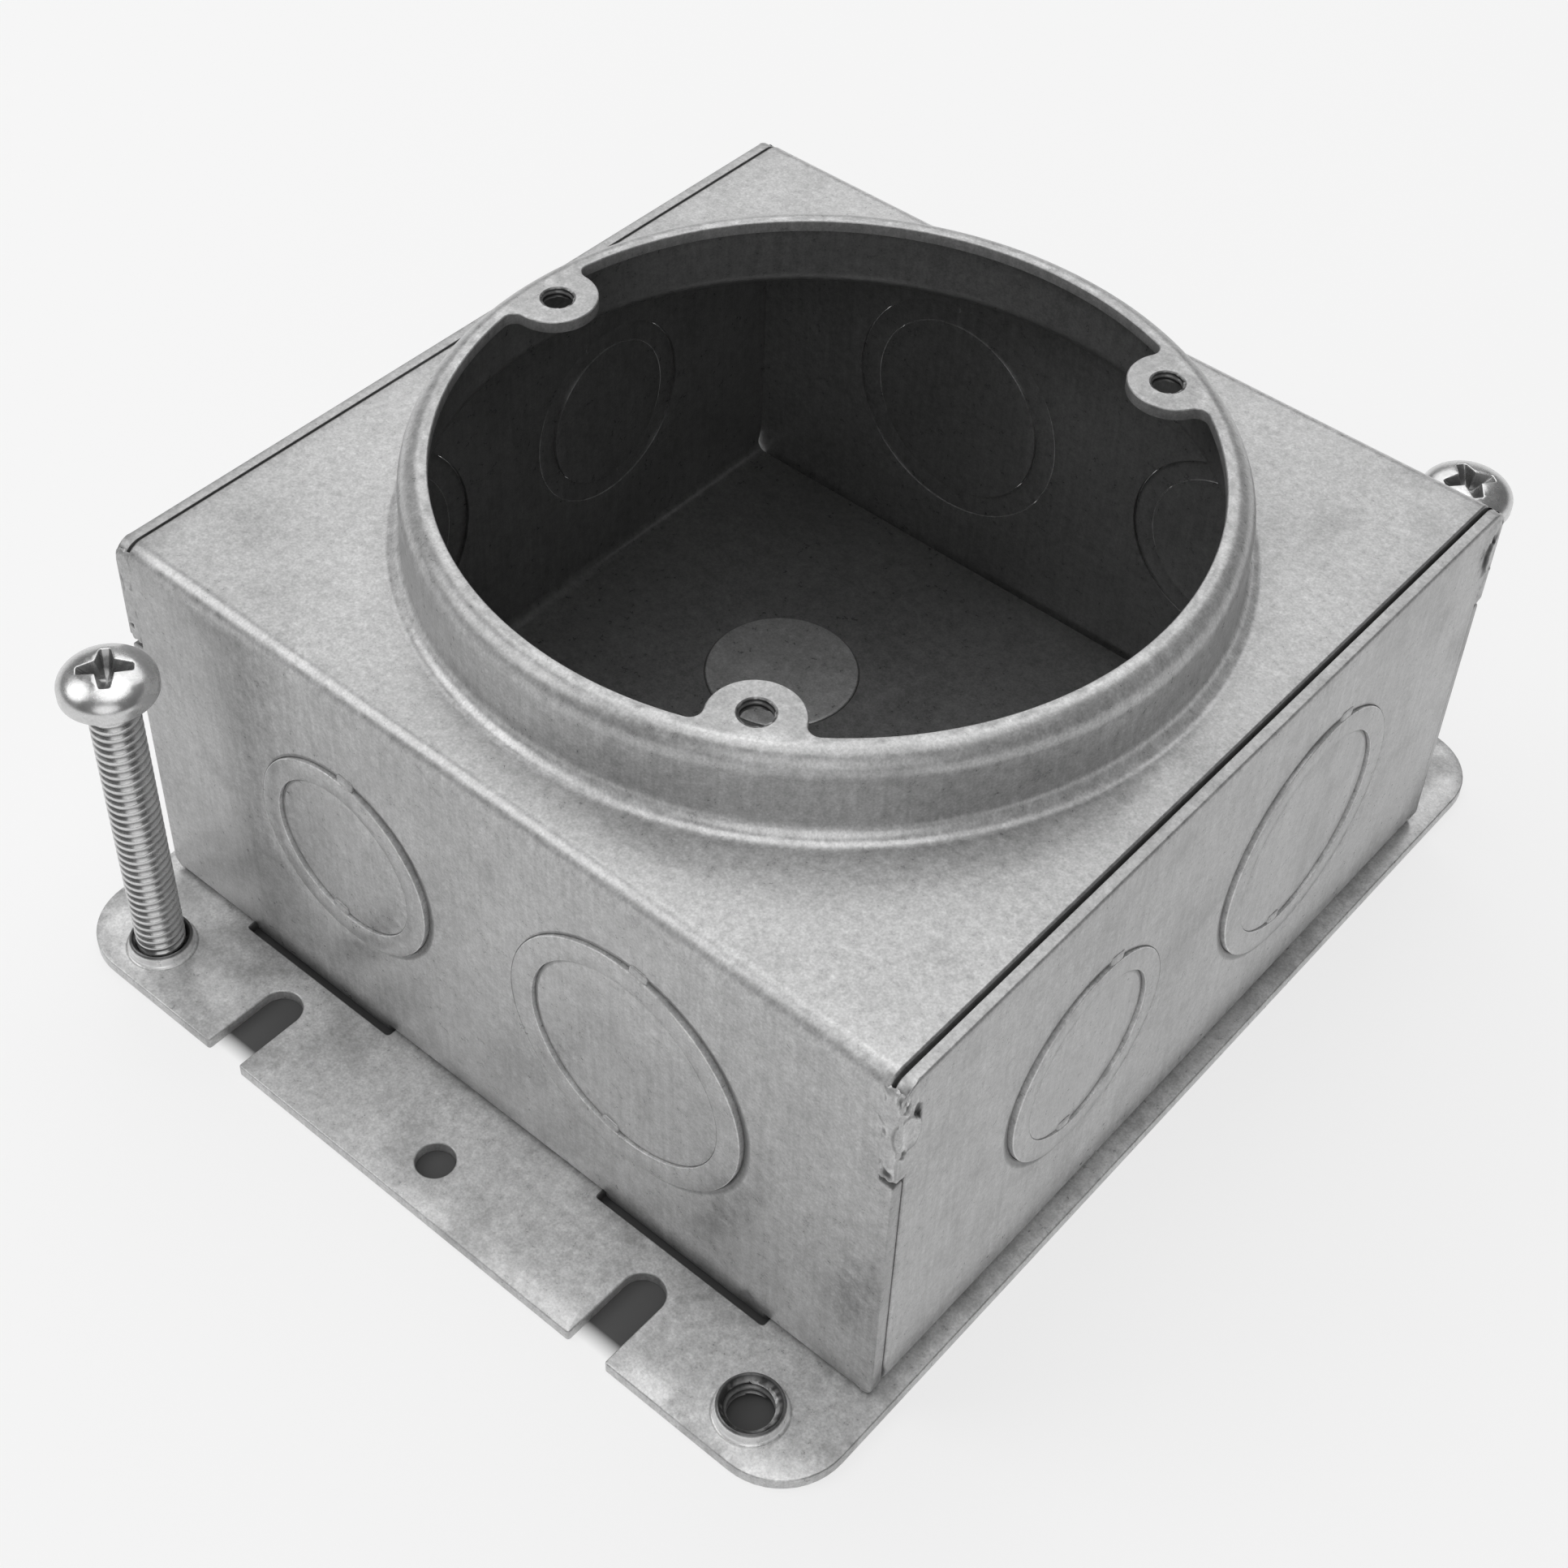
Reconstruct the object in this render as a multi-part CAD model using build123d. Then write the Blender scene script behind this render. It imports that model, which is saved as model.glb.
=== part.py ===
from build123d import *
import math
import os

# Square floor box of galvanised sheet steel with a raised round collar.
# X runs along the front wall, Y from the front wall to the back wall, Z up.
# The origin is on the underside of the base plate, below the centre of the collar.

# Sheet thickness of each formed piece
shell_sheet = 1.6
channel_sheet = 1.6
plate_sheet = 1.6

# Box body
box_width = 119.0
box_depth = 118.0
box_rise = 57.0
shell_bend = 2.6
shell_inner_bend = shell_bend - shell_sheet
channel_bend = 3.2
channel_inner_bend = channel_bend - channel_sheet
seam = 0.12
top_gap = 0.5
foot_gap = 0.3
lip_drop = 0.25
lip_round = 0.7

# Corners, where a wing of the front or back wall meets a tongue of the side wall
tongue_height = 15.0
tongue_relief = 1.2
wing_inset = 0.2
wing_corner = 1.8
weld_drop = 3.4
corner_relief_width = 1.0
corner_relief_height = 3.5

# Collar drawn up from the top, with an inward lip and three tapped ears
collar_wall = 50.1
collar_rise = 11.2
collar_foot = 2.3
collar_shoulder = 3.0
collar_lip = 0.7
ear_angles = (60.0, 180.0, 300.0)
ear_depth = 7.6
ear_radius = 5.6
ear_fillet = 1.5
ear_hole = 2.1
ear_hole_edge = 0.2
ear_hole_setback = 0.65

# Base plate
plate_side_margin = 1.9
plate_flange = 16.4
plate_corner = 9.0
boss_from_side = 9.3
boss_from_front = 10.0
boss_wall = 0.9
boss_rise = 1.7
boss_edge = 0.5
boss_foot = 0.6
fixing_hole = 2.5
notch_place = 31.0
notch_width = 5.6
notch_depth = 12.2
tab_length = 25.4
tab_depth = 12.0
tab_side_play = 0.4
tab_end_play = 0.5
slot_reach = 0.9

# Knockouts: radii of the three trade sizes, and where the pairs lie on each wall
half_inch_disc = 11.1
three_quarter_disc = 14.1
one_inch_disc = 17.45
small_place = 23.4
large_place = 21.9
floor_knockout_x = -22.7
floor_knockout_y = 21.3
window_margin = 1.5
ring_lift = 0.22
ring_tilt = 0.16
disc_lift = 0.04
disc_tilt = 0.26
bridge_width = 2.4
bridge_reach = 0.8

# Directions in degrees in which the discs lean out, and those of the bridges that hold them
shell_lean = 35.0
shell_bridge = 82.0
channel_lean = 155.0
channel_bridge = 78.0
floor_lean = 120.0

# Levelling screws, one quarter inch, with a cross recess
screw_radius = 3.15
screw_play = 0.05
screw_length = 47.5
screw_tip_height = 0.1
screw_tip_chamfer = 0.7
head_radius = 6.0
head_height = 4.0
head_side = 1.1
head_edge = 0.2
recess_span = 6.6
recess_width = 1.3
recess_depth = 2.4
recess_foot = 1.1

# Heights and places that follow
plate_top = plate_sheet
floor_top = plate_top + channel_sheet
top_face = plate_top + box_rise
top_under = top_face - shell_sheet
rim_face = top_face + collar_rise
half_width = box_width / 2
half_depth = box_depth / 2
inner_half_width = half_width - channel_sheet
inner_half_depth = half_depth - shell_sheet
top_half_width = inner_half_width - top_gap
wing_half_width = half_width - wing_inset
tongue_foot = top_face - tongue_height
wing_top = tongue_foot - tongue_relief
weld_top = top_face - weld_drop
shoulder_r = collar_wall - collar_shoulder
collar_opening = shoulder_r - collar_lip
ear_reach = collar_opening - ear_depth + ear_radius
ear_hole_reach = ear_reach - ear_hole_setback
lip_top = top_face - lip_drop
plate_half_width = half_width + plate_side_margin
plate_half_depth = half_depth + plate_flange
boss_x = half_width - boss_from_side
boss_y = half_depth + boss_from_front
boss_bore = screw_radius + screw_play
boss_radius = boss_bore + boss_wall
knockout_height = plate_top + box_rise / 2
screw_places = {"front_left": (-boss_x, -boss_y), "back_right": (boss_x, boss_y)}


def rounded_block(width, low, high, top_bend=0, foot_bend=0):
    """Rectangle from low to high, centred across, with its upper and lower corners rounded."""
    block = Pos(0, (low + high) / 2) * Rectangle(width, high - low)
    if top_bend:
        block = fillet(block.vertices().group_by(Axis.Y)[-1], top_bend)
    if foot_bend:
        block = fillet(block.vertices().group_by(Axis.Y)[0], foot_bend)
    return block


# Knockouts

def tilted_slab(radius, thickness, lift, tilt, direction):
    """Disc of sheet whose outer face stands at lift, and at lift + tilt on the side that direction names."""
    slope = math.degrees(math.atan2(tilt, radius))
    plate = Pos(0, 0, lift - thickness / 2) * Rot(0, -slope, 0) * Box(3 * radius, 3 * radius, thickness)
    round_blank = Cylinder(radius, 6 * thickness)
    return Rot(0, 0, direction) * (round_blank & plate)


def knock_out(sheet_part, place, thickness, outer, inner, direction, bridge_angle):
    """Stamps a disc and its ring into a wall. Place lies on the outer face, with Z outwards."""
    ring = tilted_slab(outer, thickness, ring_lift, ring_tilt, direction)
    ring -= Cylinder(inner, 8 * thickness)
    disc = tilted_slab(inner, thickness, disc_lift, disc_tilt, direction)
    bridge = Box(2 * bridge_reach, bridge_width, thickness)
    bridge = Rot(0, 0, bridge_angle) * Pos(outer, 0, (ring_lift - thickness) / 2) * bridge
    hole = Cylinder(outer, 8 * thickness)
    return sheet_part - place * hole + place * ring + place * disc + place * bridge


def knock_out_disc(sheet_part, place, thickness, radius, direction):
    """Stamps one plain disc into a sheet, pressed towards the outside."""
    disc = tilted_slab(radius, thickness, ring_lift, ring_tilt, direction)
    return sheet_part - place * Cylinder(radius, 8 * thickness) + place * disc


def wall_plane(wall, along):
    """Plane on the outer face of a wall, at a distance along it to the right as seen from outside."""
    normals = {"front": (0, -1), "right": (1, 0), "back": (0, 1), "left": (-1, 0)}
    nx, ny = normals[wall]
    reach = half_depth if nx == 0 else half_width
    right = (-ny, nx)
    origin = (nx * reach + right[0] * along, ny * reach + right[1] * along, knockout_height)
    return Plane(origin=origin, x_dir=(right[0], right[1], 0), z_dir=(nx, ny, 0))


def wall_knockouts(sheet_part, wall, thickness, direction, bridge_angle):
    """Small pair at the left of a wall and large pair at its right."""
    small = wall_plane(wall, -small_place)
    large = wall_plane(wall, large_place)
    sheet_part = knock_out(sheet_part, small, thickness, three_quarter_disc, half_inch_disc,
                           direction, bridge_angle)
    return knock_out(sheet_part, large, thickness, one_inch_disc, three_quarter_disc,
                     direction, bridge_angle)


# Collar shell: the top, the front wall, the back wall and the collar are one sheet

def bent_channel():
    """Top with the front and back walls folded down from it."""
    outside = rounded_block(box_depth, plate_top + foot_gap, top_face, top_bend=shell_bend)
    inside = rounded_block(2 * inner_half_depth, 0, top_under, top_bend=shell_inner_bend)
    return extrude(Plane.YZ * (outside - inside), top_half_width, both=True)


def wall_wing(side):
    """Lower part of the front or back wall, which reaches over the ends of the side walls."""
    outline = rounded_block(2 * wing_half_width, plate_top + foot_gap, wing_top, foot_bend=wing_corner)
    wing = extrude(Plane.XZ * outline, shell_sheet / 2, both=True)
    return Pos(0, side * (half_depth - shell_sheet / 2), 0) * wing


def tab_block(outer_y, low, bend):
    """Rectangle that reaches inwards from outer_y and up from low, with its lower outer corner rounded."""
    high = plate_top + shell_bend
    block = Pos(outer_y - tab_depth / 2, (low + high) / 2) * Rectangle(tab_depth, high - low)
    return fillet(block.vertices().group_by(Axis.Y)[0].sort_by(Axis.X)[-1], bend)


def wall_tab(side, place):
    """Tab that passes through a slot of the base plate and is bent in under the floor."""
    outside = tab_block(half_depth, plate_top - shell_sheet, shell_bend)
    inside = tab_block(inner_half_depth, plate_top, shell_inner_bend)
    tab = extrude(Plane.YZ * (outside - inside), tab_length / 2, both=True)
    if side < 0:
        tab = mirror(tab, Plane.XZ)
    return Pos(place, 0, 0) * tab


def corner_weld(side_x, side_y):
    """Weld that closes the seam between the front or back wall and a tongue of the side wall."""
    bead = Box(top_gap, shell_sheet, weld_top - tongue_foot)
    x = side_x * (top_half_width + top_gap / 2)
    y = side_y * (half_depth - shell_sheet / 2)
    return Pos(x, y, (weld_top + tongue_foot) / 2) * bead


def collar_wall_section():
    """Section of the collar: concave foot, straight band, rounded shoulder and inward lip."""
    wall_in = collar_wall - shell_sheet
    foot_z = top_face + collar_foot
    shoulder_z = rim_face - collar_shoulder
    foot_r = collar_wall + collar_foot
    with BuildLine() as outline:
        CenterArc((foot_r, foot_z), collar_foot, 180, 90)
        Line((collar_wall, foot_z), (collar_wall, shoulder_z))
        CenterArc((shoulder_r, shoulder_z), collar_shoulder, 0, 90)
        Polyline((shoulder_r, rim_face), (collar_opening, rim_face),
                 (collar_opening, rim_face - shell_sheet), (shoulder_r, rim_face - shell_sheet))
        CenterArc((shoulder_r, shoulder_z), collar_shoulder - shell_sheet, 0, 90)
        Line((wall_in, shoulder_z), (wall_in, foot_z))
        CenterArc((foot_r, foot_z), collar_foot + shell_sheet, 180, 90)
        Line((foot_r, top_under), (foot_r, top_face))
    return Plane.XZ * make_face(outline.edges())


def collar_ears():
    """Three tongues on the lip of the collar, each with a tapped hole."""
    outline = Circle(shoulder_r) - Circle(collar_opening)
    for angle in ear_angles:
        outline += Rot(0, 0, angle) * Pos(ear_reach, 0) * Circle(ear_radius)
    outline &= Circle(shoulder_r)
    outline = fillet([v for v in outline.vertices() if is_ear_root(v)], ear_fillet)
    ears = extrude(outline, -shell_sheet)
    for angle in ear_angles:
        place = Rot(0, 0, angle) * Pos(ear_hole_reach, 0, 0)
        ears -= place * Cylinder(ear_hole, 4 * shell_sheet)
        edge = Cone(ear_hole, ear_hole + ear_hole_edge, ear_hole_edge)
        ears -= place * Pos(0, 0, -ear_hole_edge / 2) * edge
    return Pos(0, 0, rim_face) * ears


def is_ear_root(vertex):
    """True where the edge of an ear runs into the edge of the lip."""
    if abs(math.hypot(vertex.X, vertex.Y) - collar_opening) > 0.01:
        return False
    for angle in ear_angles:
        x = ear_reach * math.cos(math.radians(angle))
        y = ear_reach * math.sin(math.radians(angle))
        if abs(math.hypot(vertex.X - x, vertex.Y - y) - ear_radius) < 0.01:
            return True
    return False


def collar_shell():
    """The upper formed sheet."""
    shell = bent_channel()
    for side in (-1, 1):
        shell += wall_wing(side)
        for place in (-notch_place, notch_place):
            shell += wall_tab(side, place)
        for side_x in (-1, 1):
            shell += corner_weld(side_x, side)
    shell -= Pos(0, 0, top_face) * Cylinder(collar_wall + collar_foot, 4 * shell_sheet)
    shell += revolve(collar_wall_section(), Axis.Z)
    shell += collar_ears()
    shell = wall_knockouts(shell, "front", shell_sheet, shell_lean, shell_bridge)
    return wall_knockouts(shell, "back", shell_sheet, shell_lean, shell_bridge)


# Side channel: the floor and both side walls are one sheet

def channel_blank():
    """Floor with both side walls folded up. The walls' ends follow the bend of the top."""
    outside = rounded_block(box_width, plate_top, lip_top, top_bend=lip_round, foot_bend=channel_bend)
    inside = rounded_block(2 * inner_half_width, floor_top, 2 * lip_top, foot_bend=channel_inner_bend)
    channel = extrude(Plane.XZ * (outside - inside), half_depth, both=True)
    wall_shape = rounded_block(box_depth, plate_top, lip_top, top_bend=shell_bend)
    return channel & extrude(Plane.YZ * wall_shape, box_width, both=True)


def wall_end_cut(side):
    """What is cut away below the tongues: the overlap with the front or back wall, and the bend relief."""
    end = inner_half_depth - seam
    relief = end - corner_relief_width
    with BuildLine() as outline:
        Polyline((end, tongue_foot), (half_depth + seam, tongue_foot), (half_depth + seam, 0),
                 (relief, 0), (relief, floor_top), (end, floor_top + corner_relief_height),
                 (end, tongue_foot))
    cut = extrude(Plane.YZ * make_face(outline.edges()), box_width, both=True)
    return cut if side > 0 else mirror(cut, Plane.XZ)


def side_channel():
    """The lower formed sheet."""
    channel = channel_blank()
    for side in (-1, 1):
        channel -= wall_end_cut(side)
    channel = wall_knockouts(channel, "right", channel_sheet, channel_lean, channel_bridge)
    channel = wall_knockouts(channel, "left", channel_sheet, channel_lean, channel_bridge)
    floor_place = Plane(origin=(floor_knockout_x, floor_knockout_y, floor_top), z_dir=(0, 0, 1))
    return knock_out_disc(channel, floor_place, channel_sheet, half_inch_disc, floor_lean)


# Base plate

def plate_outline():
    """Rounded plate with open notches, fixing holes, tab slots and a window below the floor knockout."""
    slot_length = tab_length + 2 * tab_side_play
    slot_depth = tab_depth + slot_reach + tab_end_play
    slot_middle = half_depth + slot_reach - slot_depth / 2
    outline = RectangleRounded(2 * plate_half_width, 2 * plate_half_depth, plate_corner)
    outline -= Pos(floor_knockout_x, floor_knockout_y) * Circle(half_inch_disc + window_margin)
    for side in (-1, 1):
        outline -= Pos(0, side * boss_y) * Circle(fixing_hole)
        for place in (-notch_place, notch_place):
            edge = Pos(place, side * plate_half_depth)
            outline -= edge * Rot(0, 0, 90) * SlotOverall(2 * notch_depth, notch_width)
            outline -= Pos(place, side * slot_middle) * Rectangle(slot_length, slot_depth)
    return outline


def tapped_boss():
    """Collar pulled up from the plate for a levelling screw, with a rounded rim and a concave foot."""
    with BuildLine() as outline:
        boss_top = plate_top + boss_rise
        foot_r = boss_radius + boss_foot
        CenterArc((foot_r, plate_top + boss_foot), boss_foot, 180, 90)
        Line((boss_radius, plate_top + boss_foot), (boss_radius, boss_top - boss_edge))
        CenterArc((boss_radius - boss_edge, boss_top - boss_edge), boss_edge, 0, 90)
        Polyline((boss_radius - boss_edge, boss_top), (0, boss_top), (0, 0), (foot_r, 0), (foot_r, plate_top))
    return revolve(Plane.XZ * make_face(outline.edges()), Axis.Z)


def base_plate():
    """Flat plate below the box, wider than it at the front and back."""
    plate = extrude(plate_outline(), plate_sheet)
    places = [(x * boss_x, y * boss_y) for x in (-1, 1) for y in (-1, 1)]
    for x, y in places:
        plate += Pos(x, y, 0) * tapped_boss()
    for x, y in places:
        plate -= Pos(x, y, 0) * Cylinder(boss_bore, 6 * plate_sheet)
    return plate


# Levelling screw

def cross_recess():
    """Crossed slots that narrow towards the bottom of the recess, and run on above the head."""
    cross = Rectangle(2 * recess_span, recess_width) + Rectangle(recess_width, 2 * recess_span)
    taper = Cone(recess_foot, recess_span - recess_foot, 2 * recess_depth)
    return extrude(cross, recess_depth, both=True) & taper


def screw_head():
    """Pan head with a domed top and a tapered cross recess."""
    with BuildLine() as outline:
        Polyline((0, head_height), (0, 0), (head_radius - head_edge, 0), (head_radius, head_side))
        dome_height = head_height - head_side
        EllipticalCenterArc((0, head_side), head_radius, dome_height, start_angle=0, arc_size=90)
    head = revolve(Plane.XZ * make_face(outline.edges()), Axis.Z)
    return head - Pos(0, 0, head_height) * cross_recess()


def levelling_screw(place):
    """Machine screw standing in its boss."""
    x, y = place
    shank = Cylinder(screw_radius, screw_length, align=(Align.CENTER, Align.CENTER, Align.MIN))
    tip = shank.edges().filter_by(GeomType.CIRCLE).sort_by(Axis.Z)[0]
    shank = chamfer(tip, screw_tip_chamfer)
    screw = shank + Pos(0, 0, screw_length) * screw_head()
    return Pos(x, y, screw_tip_height) * screw


def main():
    os.makedirs("parts", exist_ok=True)
    pieces = {
        "collar_shell": collar_shell(),
        "side_channel": side_channel(),
        "base_plate": base_plate(),
    }
    for name, place in screw_places.items():
        pieces["levelling_screw_" + name] = levelling_screw(place)
    for name, piece in pieces.items():
        export_step(piece, "parts/" + name + ".step")
        print(name, "solids", len(piece.solids()), "volume", round(piece.volume, 1))


main()
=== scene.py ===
import math
import bmesh
import bpy
import numpy as np
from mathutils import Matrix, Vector, geometry


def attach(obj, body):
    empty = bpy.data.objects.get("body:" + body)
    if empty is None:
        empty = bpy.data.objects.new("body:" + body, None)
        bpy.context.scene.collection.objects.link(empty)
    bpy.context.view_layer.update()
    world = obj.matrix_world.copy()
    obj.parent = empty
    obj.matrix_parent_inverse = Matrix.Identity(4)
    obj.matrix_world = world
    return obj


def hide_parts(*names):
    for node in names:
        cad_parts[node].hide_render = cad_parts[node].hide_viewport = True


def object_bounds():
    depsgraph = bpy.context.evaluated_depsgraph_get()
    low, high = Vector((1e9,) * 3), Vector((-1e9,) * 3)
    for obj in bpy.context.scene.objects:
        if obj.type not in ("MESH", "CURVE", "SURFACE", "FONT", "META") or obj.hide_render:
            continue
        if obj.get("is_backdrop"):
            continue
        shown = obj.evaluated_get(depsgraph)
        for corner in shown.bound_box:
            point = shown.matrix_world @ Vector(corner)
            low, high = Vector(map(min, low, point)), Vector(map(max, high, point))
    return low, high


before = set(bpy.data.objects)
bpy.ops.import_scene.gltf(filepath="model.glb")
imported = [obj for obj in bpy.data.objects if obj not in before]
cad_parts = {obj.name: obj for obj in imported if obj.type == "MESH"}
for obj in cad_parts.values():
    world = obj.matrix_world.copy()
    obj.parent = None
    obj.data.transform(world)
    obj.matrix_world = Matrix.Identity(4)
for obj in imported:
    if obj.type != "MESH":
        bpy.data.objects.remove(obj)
cad_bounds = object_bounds()

# Sizes are in millimetres, as in the part's own drawing, and become metres when a mesh is made.
MM = 0.001

# Sheet and box
SHEET = 1.6
BOX_WIDTH = 119.0
BOX_DEPTH = 118.0
BOX_RISE = 57.0
SHELL_BEND = 2.6
CHANNEL_BEND = 3.2
SEAM = 0.12
TOP_GAP = 0.5
FOOT_GAP = 0.3
LIP_DROP = 0.25
TONGUE_HEIGHT = 15.0
TONGUE_RELIEF = 1.2
WING_INSET = 0.2
WING_CORNER = 1.8
WELD_DROP = 3.4
CORNER_RELIEF = (1.0, 3.5)

# Collar and ears
COLLAR_WALL = 50.1
COLLAR_RISE = 11.2
COLLAR_FOOT = 2.3
COLLAR_SHOULDER = 3.0
COLLAR_LIP = 0.7
EAR_ANGLES = (60.0, 180.0, 300.0)
EAR_DEPTH = 7.6
EAR_RADIUS = 5.6
EAR_FILLET = 1.5
EAR_HOLE = 2.1
EAR_HOLE_EDGE = 0.2
EAR_HOLE_SETBACK = 0.65
EAR_PITCH = 0.794
EAR_THREAD_DEPTH = 0.22

# Base plate
PLATE_MARGIN = 1.9
PLATE_FLANGE = 16.4
PLATE_CORNER = 9.0
BOSS_FROM_SIDE = 9.3
BOSS_FROM_FRONT = 10.0
BOSS_BORE = 3.2
BOSS_WALL = 0.9
BOSS_RISE = 1.7
BOSS_EDGE = 0.5
BOSS_FOOT = 0.6
BOSS_MOUTH = 0.38
BOSS_MOUTH_DROP = 0.16
BOSS_BORE_DROP = 0.7
FIXING_HOLE = 2.5
NOTCH_PLACE = 31.0
NOTCH_WIDTH = 5.6
NOTCH_DEPTH = 12.2
TAB_LENGTH = 25.4
TAB_DEPTH = 12.0
TAB_SIDE_PLAY = 0.4
TAB_END_PLAY = 0.5
SLOT_REACH = 0.9

# Knockouts: radii, places from a wall's middle, lean of ring and disc, rolled edges, directions in degrees
HALF_INCH = 11.1
THREE_QUARTER = 14.1
ONE_INCH = 17.45
SMALL_PLACE = 23.4
LARGE_PLACE = 21.9
FLOOR_KNOCKOUT = (-22.7, 21.3)
WINDOW_MARGIN = 1.5
RING_RISE = 0.42
DISC_DROP = 0.42
ROLL = 1.45
ROLL_DROP = 0.5
LEAST_ROLL = 0.06
LEAST_DROP = 0.05
DISC_ROLL = 0.8
SLUG_EDGE = 0.07
SLUG_GAP = 0.05
SLUG_GRID = 2.5
SHELL_LEAN = 35.0
CHANNEL_LEAN = 155.0
FLOOR_LEAN = 120.0
SHELL_BRIDGE = 82.0
CHANNEL_BRIDGE = 78.0
INNER_BRIDGE_TURN = 178

# Each wall's two knockouts: place to the right of the wall's middle, outer radius and inner radius
WALL_KNOCKOUTS = ((-SMALL_PLACE, THREE_QUARTER, HALF_INCH), (LARGE_PLACE, ONE_INCH, THREE_QUARTER))

# Bridge of a knockout: half length and width, corners, edge as in sheet(), and its share of the slug's height
BRIDGE_HALF = (1.15, 1.3)
BRIDGE_CORNER = 0.4
BRIDGE_EDGE = (0.5, 0.16, 0.05, 0.9)
BRIDGE_RISE = 0.62

# Corner welds: reach onto both walls, rounding of the corner, and ends past TONGUE_FOOT and WELD_TOP
WELD_FRONT = 3.0
WELD_SIDE = 4.4
WELD_ROUND = 0.75
WELD_ENDS = (0.35, 2.4)

# Marks of the near corner's weld: an oval, and pits with size and depth. A place is the distance round the
# corner, negative on the front wall, and the height
WELD_OVAL = (1.1, 51.0)
WELD_OVAL_HALF = (1.75, 2.75)
WELD_PITS = (
    ((2.4, 54.1), 0.7, 0.45),
    ((0.4, 48.2), 0.55, 0.35),
    ((-2.2, 50.9), 0.5, 0.25),
    ((-1.1, 44.4), 0.65, 0.45),
    ((0.5, 55.9), 0.65, 0.4),
    ((-0.2, 57.0), 0.5, 0.35),
)

# Levelling screws
SCREW_RADIUS = 3.15
SCREW_PITCH = 1.27
THREAD_DEPTH = 0.42
SCREW_LENGTH = 47.5
SCREW_TIP = 0.1
TIP_CHAMFER = (0.2, 0.1)
SCREW_NECK = 0.4
THREAD_FADE = 0.6
HEAD_RADIUS = 6.0
HEAD_HEIGHT = 4.0
HEAD_SIDE = 1.1
HEAD_EDGE = 0.2
HEAD_CROWN = 4.7
RECESS_ANGLE = 50.0
RECESS_DEPTH = 2.4
RECESS_POINT = 0.3
RECESS_EDGE = 0.16

# Cross recess at its mouth and at its floor: reach, half width at the tip and at the root, corner radius
RECESS_MOUTH = (3.3, 0.62, 1.1, 0.3)
RECESS_FLOOR = (1.2, 0.3, 0.5, 0.15)

# Heights and places that follow
PLATE_TOP = SHEET
FLOOR_TOP = PLATE_TOP + SHEET
TOP_FACE = PLATE_TOP + BOX_RISE
RIM_FACE = TOP_FACE + COLLAR_RISE
HALF_WIDTH = BOX_WIDTH / 2
HALF_DEPTH = BOX_DEPTH / 2
TOP_HALF_WIDTH = HALF_WIDTH - SHEET - TOP_GAP
WING_HALF_WIDTH = HALF_WIDTH - WING_INSET
TONGUE_FOOT = TOP_FACE - TONGUE_HEIGHT
WING_TOP = TONGUE_FOOT - TONGUE_RELIEF
WELD_TOP = TOP_FACE - WELD_DROP
LIP_TOP = TOP_FACE - LIP_DROP
WALL_FOOT = PLATE_TOP + FOOT_GAP
SHOULDER_R = COLLAR_WALL - COLLAR_SHOULDER
OPENING_R = SHOULDER_R - COLLAR_LIP
FOOT_R = COLLAR_WALL + COLLAR_FOOT
EAR_REACH = OPENING_R - EAR_DEPTH + EAR_RADIUS
EAR_HOLE_REACH = EAR_REACH - EAR_HOLE_SETBACK
PLATE_HALF = (HALF_WIDTH + PLATE_MARGIN, HALF_DEPTH + PLATE_FLANGE)
BOSS_X = HALF_WIDTH - BOSS_FROM_SIDE
BOSS_Y = HALF_DEPTH + BOSS_FROM_FRONT
KNOCKOUT_HEIGHT = PLATE_TOP + BOX_RISE / 2

# Mesh fineness: points round the collar, a knockout, a small hole, and over a weld, spacings, and merging
ROUND_COLLAR = 192
ROUND_KNOCKOUT = 96
ROUND_HOLE = 48
WELD_POINTS = (80, 144)
STEP = 4.0
LIP_STEP = 1.5
BEND_STEPS = 8
MERGE = 0.002

# Rounding of cut edges outside and underneath, of the top beside its gap, and of the side walls' lip
EDGE_OUT = 0.18
EDGE_IN = 0.08
TOP_ROLL = 0.3
LIP_ROUND = 0.35

# Colour factors, where outside is 1: painted shade on inner faces, painted highlight on knockout edges,
# painted shade in narrow places, darker cut edges, and painted shade on the collar's lip
INSIDE_PAINTED_SHADE = 0.5
EDGE_PAINTED_HIGHLIGHT = 1.5
NARROW_PAINTED_SHADE = 0.4
CUT = 0.85
LIP_PAINTED_SHADE = 0.85


# Outlines in the flat

def unit(v):
    return v / np.linalg.norm(v)


def circle(centre, radius, count, hole=False):
    """Closed circle, anticlockwise, or clockwise where it bounds a hole."""
    turn = -1 if hole else 1
    a = turn * np.arange(count) * 2 * math.pi / count
    return np.stack([centre[0] + radius * np.cos(a), centre[1] + radius * np.sin(a)], 1)


def arc(centre, radius, start, end, steps):
    """Points on an arc from one angle to the other, in radians, both ends included."""
    a = np.linspace(start, end, steps + 1)
    return np.stack([centre[0] + radius * np.cos(a), centre[1] + radius * np.sin(a)], 1)


def corner_arc(before, corner, after, radius, steps):
    """Fillet of a corner."""
    u = unit(before - corner)
    v = unit(after - corner)
    half = math.acos(np.clip(u @ v, -1, 1)) / 2
    centre = corner + unit(u + v) * radius / math.sin(half)
    first = corner + u * radius / math.tan(half) - centre
    last = corner + v * radius / math.tan(half) - centre
    start = math.atan2(first[1], first[0])
    sweep = math.atan2(last[1], last[0]) - start
    sweep = (sweep + math.pi) % (2 * math.pi) - math.pi
    return arc(centre, radius, start, start + sweep, steps)


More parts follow.
